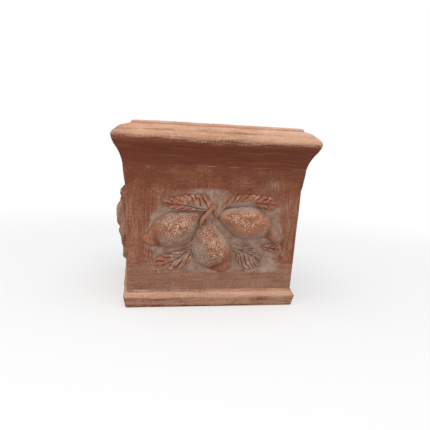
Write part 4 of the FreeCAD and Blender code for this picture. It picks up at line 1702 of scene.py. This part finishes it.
@dataclass(frozen=True)
class Rim:
    """The rim's four mitred lengths of moulding, luted into one ring."""

    ring: SquareRing = SquareRing(
        (
            # Each step: half width, height, rows, paleness from rubbing wear and painted light, dark red
            # clay with painted shade, and bulge.
            RingStep(177.6, 278.0, 2, 0.30, 0.4),
            RingStep(178.8, 279.2, 2, 0.34, 0.4),
            RingStep(179.2, 281.4, 18, -0.30, 0.8, -2.1),
            RingStep(194.3, 314.0, 3, -0.40, 1.0, 0.1),
            RingStep(196.0, 317.8, 4, -0.05, 0.8, 0.5),
            RingStep(198.9, 324.6, 3, 0.38, 0.3, 0.3),
            RingStep(199.9, 328.6, 4, 0.62, 0.0, 0.5),
            RingStep(198.9, 333.2, 4, 0.76, 0.0, 0.5),
            RingStep(195.6, 338.4, 4, 0.92, 0.0, 0.3),
            RingStep(190.3, 343.1, 2, 0.62, 0.0),
            RingStep(189.2, 343.9, 4, 0.80, 0.0, 0.2),
            RingStep(183.5, 349.5, 4, 0.94, 0.0, -0.3),
            RingStep(176.2, 352.8, 2, 0.95, 0.0),
            RingStep(173.4, 353.4, 2, 0.5, 0.3),
            RingStep(172.6, 354.4, 3, 0.75, 0.1),
            RingStep(172.2, 357.0, 4, 0.98, 0.0, 0.5),
            RingStep(168.8, 359.7, 6, 1.0, 0.0),
            RingStep(155.0, 359.8, 4, 0.7, 0.0, 0.5),
            RingStep(152.0, 356.8, 20, 0.4, 0.1),
            RingStep(152.0, 278.0, 3, 0.0, 0.3),
        )
    )

    OUTER_FROM = 162.0
    JOINT_HEIGHT = 278.4
    NOSE_HEIGHT = 327.0
    BEAD_HEIGHT = 353.6

    def make(self, finish: Material) -> None:
        """Builds and dresses the rim: wobble all over, chips and dents along the nose, worn corners.

        Args:
            finish: Finish of the mouldings.
        """
        sheet = self.ring.sheet()
        points = sheet.points
        height, across = points[..., 2], across_side(points)
        outer = reach_of(points) > self.OUTER_FROM
        nose = bell(height, self.NOSE_HEIGHT, 11.0) * outer
        chips = np.minimum(noise(points, 12.0, 71) + 0.15, 0.0) * 1.1 * nose
        dents = np.minimum(noise(points, 33.0, 72), 0.0) * 1.3 * nose
        wobble = hand_wobble(points) * np.where(outer, 1.0, -1.0)
        moved = push_out(points, wobble + (chips + dents) * ramp(278.0, 290.0, height))
        sag = 0.55 * noise(points, 48.0, 75) - 0.35 + 0.25 * noise(points, 9.0, 76)
        moved[..., 2] += np.minimum(sag, 0.15) * ramp(300.0, 345.0, height)
        sheet.points = push_out(moved, -self.worn_corners(points))
        # Moves the edge between the nose's pale, partly painted-light band and the painted shade below it:
        # higher on the front left, lower on the right, uneven across the underside.
        thin = ramp(-50.0, -130.0, across) * ramp(336.0, 323.0, height)
        light = ramp(0.0, 130.0, across) * ramp(324.0, 330.0, height)
        under = ramp(331.0, 323.0, height) * ramp(300.0, 312.0, height)
        uneven = 0.10 * bell(across, 0.0, 65.0) - 0.14 * ramp(60.0, 120.0, across)
        rubbed = 0.18 * light - 0.42 * thin + uneven * under
        sheet.marks["rubbed"] += 0.13 * noise(points * (1.0, 1.0, 3.0), 30.0, 77) + rubbed * outer
        bead = bell(height, self.BEAD_HEIGHT, 0.9) * ramp(176.5, 174.0, reach_of(points))
        joint = 0.6 * bell(height, self.JOINT_HEIGHT, 0.7)
        # Painted shade in the bead's groove and at the joint.
        sheet.marks["crevice_shade"] = np.clip(bead + joint, 0.0, 1.0) * outer
        sheet.dress("clay_rim", finish, "terracotta_moulding", *("rim_" + side.label for side in Side))

    def worn_corners(self, points: Array) -> Array:
        """How far the bead's outer corners are worn back: most at the front left one.

        There the wear runs on for 100 mm along the left side.

        Args:
            points: Points of the ring.

        Returns:
            The depth at each point.
        """
        x, y = points[..., 0], points[..., 1]
        depth = np.where(x < 0, np.where(y < 0, 11.0, 3.5), np.where(y < 0, 1.5, 4.0))
        past = np.abs(x) - np.abs(y)
        front_left = (x < 0) & (y < 0) & (past > 0)
        near = np.where(front_left, ramp(130.0, 70.0, past), ramp(30.0, 0.0, np.abs(past)))
        return depth * near * ramp(152.0, 173.0, reach_of(points)) * ramp(345.0, 357.0, points[..., 2])


@dataclass(frozen=True)
class Foot:
    """The foot's four mitred lengths of moulding, luted into one ring."""

    ring: SquareRing = SquareRing(
        (
            # Paleness is partly rubbing wear and partly painted light on the faces turned up; painted shade
            # darkens the bottom edge.
            RingStep(164.0, 0.0, 10, 0.3, 0.1),
            RingStep(165.2, 35.6, 2, 0.48, 0.0),
            RingStep(166.0, 34.8, 3, 0.48, 0.0, -0.2),
            RingStep(167.0, 31.2, 2, 0.55, 0.0),
            # The palest line, along the top edge of the band, is partly a painted highlight.
            RingStep(168.4, 29.0, 5, 0.95, 0.0),
            RingStep(171.7, 24.0, 3, 0.85, 0.0, 0.3),
            RingStep(172.9, 20.6, 3, 0.68, 0.0, 0.4),
            RingStep(171.8, 16.4, 5, 0.50, 0.0, 0.2),
            RingStep(169.6, 7.0, 5, 0.54, 0.0, 0.1),
            RingStep(168.4, 1.4, 2, 0.36, 0.1),
            RingStep(166.8, 0.0, 3, 0.3, 0.3),
        )
    )

    def make(self, finish: Material) -> None:
        """Builds and dresses the foot: wobble and chips on the face, with its underside left level.

        Args:
            finish: Finish of the mouldings.
        """
        sheet = self.ring.sheet()
        points = sheet.points
        reach, height, across = reach_of(points), points[..., 2], across_side(points)
        chips = np.minimum(noise(points, 10.0, 81) + 0.1, 0.0) * 0.9
        moved = push_out(points, (1.3 * hand_wobble(points) + chips) * ramp(165.6, 169.0, reach))
        top = ramp(30.0, 36.0, height)
        moved[..., 2] += 0.8 * noise(points, 14.0, 83) * top
        sheet.points = moved
        rubbed = 0.08 * noise(points, 24.0, 84)
        for area, weight in (
            (ramp(-30.0, -120.0, across) * ramp(22.0, 15.0, height), -0.16),
            (ramp(20.0, 120.0, across) * ramp(20.0, 24.0, height), 0.14),
            (bell(across, 0.0, 60.0) * ramp(26.0, 20.0, height), 0.10),
            # Painted shade: the band made darker low on the right.
            (ramp(50.0, 90.0, across) * ramp(19.0, 14.0, height), -0.05),
        ):
            rubbed += weight * area
        sheet.marks["rubbed"] += rubbed
        # Painted shade where the foot's top meets the wall.
        sheet.marks["crevice_shade"] = 0.2 * ramp(166.4, 165.4, reach) * top
        sheet.dress("clay_foot", finish, "terracotta_moulding", *("foot_" + side.label for side in Side))


@dataclass(frozen=True)
class Inside:
    """The floor slab with its drain hole, and the coils in the seams.

    Fields:
        leg: Reach of a coil along the walls and the floor.
        gap: Distance that the floor's coils keep from the corners' coils.
        drain: Radius of the drain hole.
        top_lip: How much wider the hole is at the top of the slab.
        under_lip: How much wider it is underneath.
    """

    leg: float = 12.0
    gap: float = 0.3
    drain: float = 16.0
    top_lip: float = 1.6
    under_lip: float = 0.4

    SLOT = "terracotta_inside"
    FLOOR_COLUMNS = 240
    FLOOR_ROWS = 40
    BORE_HEIGHTS = (1.0, 8.0, 15.0, 22.0)
    UPRIGHT_ROWS = 90
    LEVEL_ROWS = 100
    HOLLOW = 0.14
    FINGER_WIDTH = 13.0
    FINGER_DEPTH = 0.49

    def floor(self, finish: Material) -> None:
        """Builds the slab: rings from the drain's bore out to the walls, above and below.

        The way across the slab goes from a circle at the bore to the square at the walls, as
        radius = (1 - t) * (drain + lip) + t * the square's reach in that direction.

        Args:
            finish: Finish of the inside.
        """
        angle = np.linspace(0.0, 2.0 * math.pi, self.FLOOR_COLUMNS, endpoint=False)
        c, s = np.cos(angle), np.sin(angle)
        square = 1.0 / np.maximum(np.abs(c), np.abs(s))
        share = np.concatenate([[0.0, 0.012], np.linspace(0.03, 1.0, self.FLOOR_ROWS)])[:, None]
        above, below = (SIZES.floor_thickness, self.top_lip, share), (0.0, self.under_lip, share[::-1])
        rings = []
        for height, lip, t in (above, below):
            radius = (1 - t) * (self.drain + lip) + t * SIZES.inner_half(height) * square
            rings.append(np.stack([radius * c, radius * s, np.full_like(radius, height)], axis=-1))
        rings[0][..., 2] += (0.5 * noise(rings[0], 26.0, 91) - 0.45) * ramp(0.0, 0.06, share)
        up = np.array(self.BORE_HEIGHTS)[:, None]
        rings.append(np.stack(np.broadcast_arrays(self.drain * c, self.drain * s, up), axis=-1))
        ClaySheet(np.concatenate(rings), ring=True).dress("clay_floor", finish, self.SLOT, "floor_slab")

    def coil_section(self) -> Array:
        """Triangle of a coil, whose long side is hollow by a share of the leg.

        Returns:
            Distances from the first wall and from the second, shape (n, 2).
        """
        t = np.linspace(0.0, 1.0, 9)
        leg = self.leg * (1.0 - self.HOLLOW * 4.0 * t * (1.0 - t))
        back = np.array([[0.0, self.leg * 0.5], [0.0, 0.0], [self.leg * 0.5, 0.0]])
        return np.concatenate([np.stack([leg * (1.0 - t), leg * t], axis=-1), back])

    def coils(
        self,
        points: Array,
        swell: Triple,
        seed: int,
        places: type[Quarter],
        node: str,
        finish: Material,
    ) -> None:
        """Presses finger marks into a coil's free face, and dresses it turned to each of its places.

        Args:
            points: Grid of the coil at the first place.
            swell: Direction in which the free face swells between the marks.
            seed: Picks the marks.
            places: Its sides or corners.
            node: What its nodes' names start with.
            finish: Finish of the inside.
        """
        free = self.coil_section().min(axis=1) > 0.4
        dent = self.FINGER_DEPTH * noise(points, self.FINGER_WIDTH, seed) * free
        pressed = points + dent[..., None] * np.array(swell)
        for place in places:
            name = node + place.label
            ClaySheet(turned(pressed, place.turn)).dress("clay_" + name, finish, self.SLOT, name)

    def make(self, finish: Material) -> None:
        """Builds and dresses the floor, the coils up the corners and those along the floor.

        Args:
            finish: Finish of the inside.
        """
        self.floor(finish)
        first, second = self.coil_section().T
        up = np.linspace(SIZES.floor_thickness, SIZES.neck_height, self.UPRIGHT_ROWS)[:, None]
        reach = SIZES.inner_half(up)
        upright = np.stack(np.broadcast_arrays(reach - first, second - reach, up), axis=-1)
        self.coils(upright, (-1.0, 1.0, 0.0), 95, Corner, "corner_coil_", finish)
        end = SIZES.inner_half(SIZES.floor_thickness) - self.leg - self.gap
        along = np.linspace(-end, end, self.LEVEL_ROWS)[:, None]
        height = SIZES.floor_thickness + second
        level = np.stack(np.broadcast_arrays(along, first - SIZES.inner_half(height), height), axis=-1)
        self.coils(level, (0.0, 1.0, 1.0), 97, Side, "floor_coil_", finish)


# Studio


def stand(name: str, data: bpy.types.ID, *columns: Array) -> bpy.types.Object:
    """Puts a camera or a lamp into the scene.

    Args:
        name: Name of the object.
        data: The camera or lamp.
        columns: The directions to its right, up and back, and its place.

    Returns:
        The object.
    """
    made = bpy.data.objects.new(name, data)
    made.matrix_world = Matrix(np.vstack([np.array(columns).T, (0.0, 0.0, 0.0, 1.0)]).tolist())
    bpy.context.scene.collection.objects.link(made)
    return made


@dataclass(frozen=True)
class Viewpoint:
    """Camera at the photographed view: place in metres, and turn, tilt and roll in radians."""

    place: Triple = (-0.155561, -1.009894, 0.296776)
    turn: float = 0.183
    tilt: float = -0.13
    roll: float = 0.044
    focal_pixels: float = 442.4
    picture_pixels: float = 430.0
    sensor: float = 36.0
    nearest: float = 0.01

    def make(self) -> None:
        """Builds the camera from the directions to its right, up and back."""
        level = np.array([math.cos(self.turn), -math.sin(self.turn), 0.0])
        ahead = np.array([math.sin(self.turn), math.cos(self.turn), 0.0]) * math.cos(self.tilt)
        ahead[2] = math.sin(self.tilt)
        top = np.cross(level, ahead)
        c, s = math.cos(self.roll), math.sin(self.roll)
        data = bpy.data.cameras.new("viewpoint")
        data.sensor_width = self.sensor
        data.lens = self.focal_pixels / self.picture_pixels * self.sensor
        data.clip_start = self.nearest
        camera = stand("viewpoint", data, c * level + s * top, c * top - s * level, -ahead, self.place)
        bpy.context.scene.camera = camera


@dataclass(frozen=True)
class Lamp:
    """A square soft lamp, turned to what it lights.

    Fields:
        name: Its name.
        place: Where it stands.
        aim: What it lights.
        size: Its width, in metres.
        power: Its power, in watts.
    """

    name: str
    place: Triple
    aim: Triple
    size: float
    power: float

    def make(self) -> None:
        """Builds the lamp from the directions to its right, up and back."""
        data = bpy.data.lights.new(self.name, "AREA")
        data.size = self.size
        data.energy = self.power
        back = np.array(self.place) - np.array(self.aim)
        back = back / np.linalg.norm(back)
        right = np.cross((0.0, 0.0, 1.0), back)
        right = right / np.linalg.norm(right)
        stand(self.name, data, right, np.cross(back, right), back, self.place)


@dataclass(frozen=True)
class Studio:
    """Pale floor, soft lamps and a pale surround.

    Fields:
        lamps: The lamps.
        surround: Strength of the surround's light.
        floor_grey: Lightness of the floor.
        floor_white: How much of the white backdrop shows on the floor near the object.
        floor_reach: Half width of the floor, in metres.
        fade_from: Distance from the middle at which the floor starts to turn white.
        fade_to: Distance at which it is all white.
    """

    lamps: tuple[Lamp, ...] = (
        Lamp("overhead", place=(-0.25, -0.55, 1.75), aim=(0.0, 0.0, 0.15), size=1.5, power=17.0),
        Lamp("front_fill", place=(-0.25, -2.0, 0.75), aim=(0.0, 0.0, 0.2), size=1.2, power=9.0),
    )
    surround: float = 0.62
    floor_grey: float = 0.86
    floor_white: float = 0.5
    floor_reach: float = 14.0
    fade_from: float = 0.3
    fade_to: float = 1.6

    def make(self) -> None:
        """Builds the floor, the lamps and the surround."""
        self.floor()
        for lamp in self.lamps:
            lamp.make()
        self.world()
        bpy.context.scene.view_settings.view_transform = "Standard"

    def floor(self) -> None:
        """Wide pale floor that keeps the object's shadow and turns white away from it."""
        far = self.floor_reach
        corners = [(-far, -far, 0.0), (far, -far, 0.0), (far, far, 0.0), (-far, far, 0.0)]
        mesh = bpy.data.meshes.new("studio_floor")
        mesh.from_pydata(corners, [], [(0, 1, 2, 3)])
        floor = bpy.data.objects.new("studio_floor", mesh)
        bpy.context.scene.collection.objects.link(floor)
        made = bpy.data.materials.new("studio_floor")
        made.use_nodes = True
        made.node_tree.nodes.clear()
        w = Wiring(made.node_tree)
        shader = w.value("BsdfPrincipled", {"Base Color": (self.floor_grey,) * 3, "Roughness": 0.9})
        distance = w.value("VectorMath", {0: w.value("TexCoord", {}, "Object")}, "Value", operation="LENGTH")
        white = w.blend(distance.band(self.fade_from, self.fade_to), self.floor_white, 1.0)
        share = w.value("LightPath", {}, "Is Camera Ray") * white
        seen = w.value("MixShader", {0: share, 1: shader, 2: w.value("Emission", {})})
        w.node("OutputMaterial", {"Surface": seen})
        mesh.materials.append(made)

    def world(self) -> None:
        """Grey surround for light, seen as white by the camera and in reflections."""
        world = bpy.data.worlds.new("studio")
        bpy.context.scene.world = world
        world.use_nodes = True
        world.node_tree.nodes.clear()
        w = Wiring(world.node_tree)
        path = w.node("LightPath", {})
        seen = Value(w, path.outputs["Is Camera Ray"])
        for ray in ("Is Glossy Ray", "Is Transmission Ray"):
            seen = w.math("MAXIMUM", seen, Value(w, path.outputs[ray]))
        strength = seen * (1.0 - self.surround) + self.surround
        shader = w.value("Background", {"Color": (1.0, 1.0, 1.0), "Strength": strength})
        w.node("OutputWorld", {"Surface": shader})


def main() -> None:
    """Builds the planter and its studio in order."""
    groups = {name: group.make() for name, group in SHARED_GROUPS.items()}
    wall = WallFinish("brushed_wall_clay").material(groups)
    moulding = MouldingFinish("rubbed_moulding_clay").material(groups)
    fruit = FruitFinish("pitted_fruit_clay").material(groups)
    leaf = LeafFinish("veined_leaf_clay").material(groups)
    inner = InsideFinish("raw_inner_clay", relief=1.0 * MM).material(groups)
    Viewpoint().make()
    spray = Spray()
    Walls(spray).make(wall)
    Rim().make(moulding)
    Foot().make(moulding)
    for side in Side:
        spray.make(side, fruit, leaf)
    Inside().make(inner)
    Studio().make()


if __name__ == "__main__":
    main()
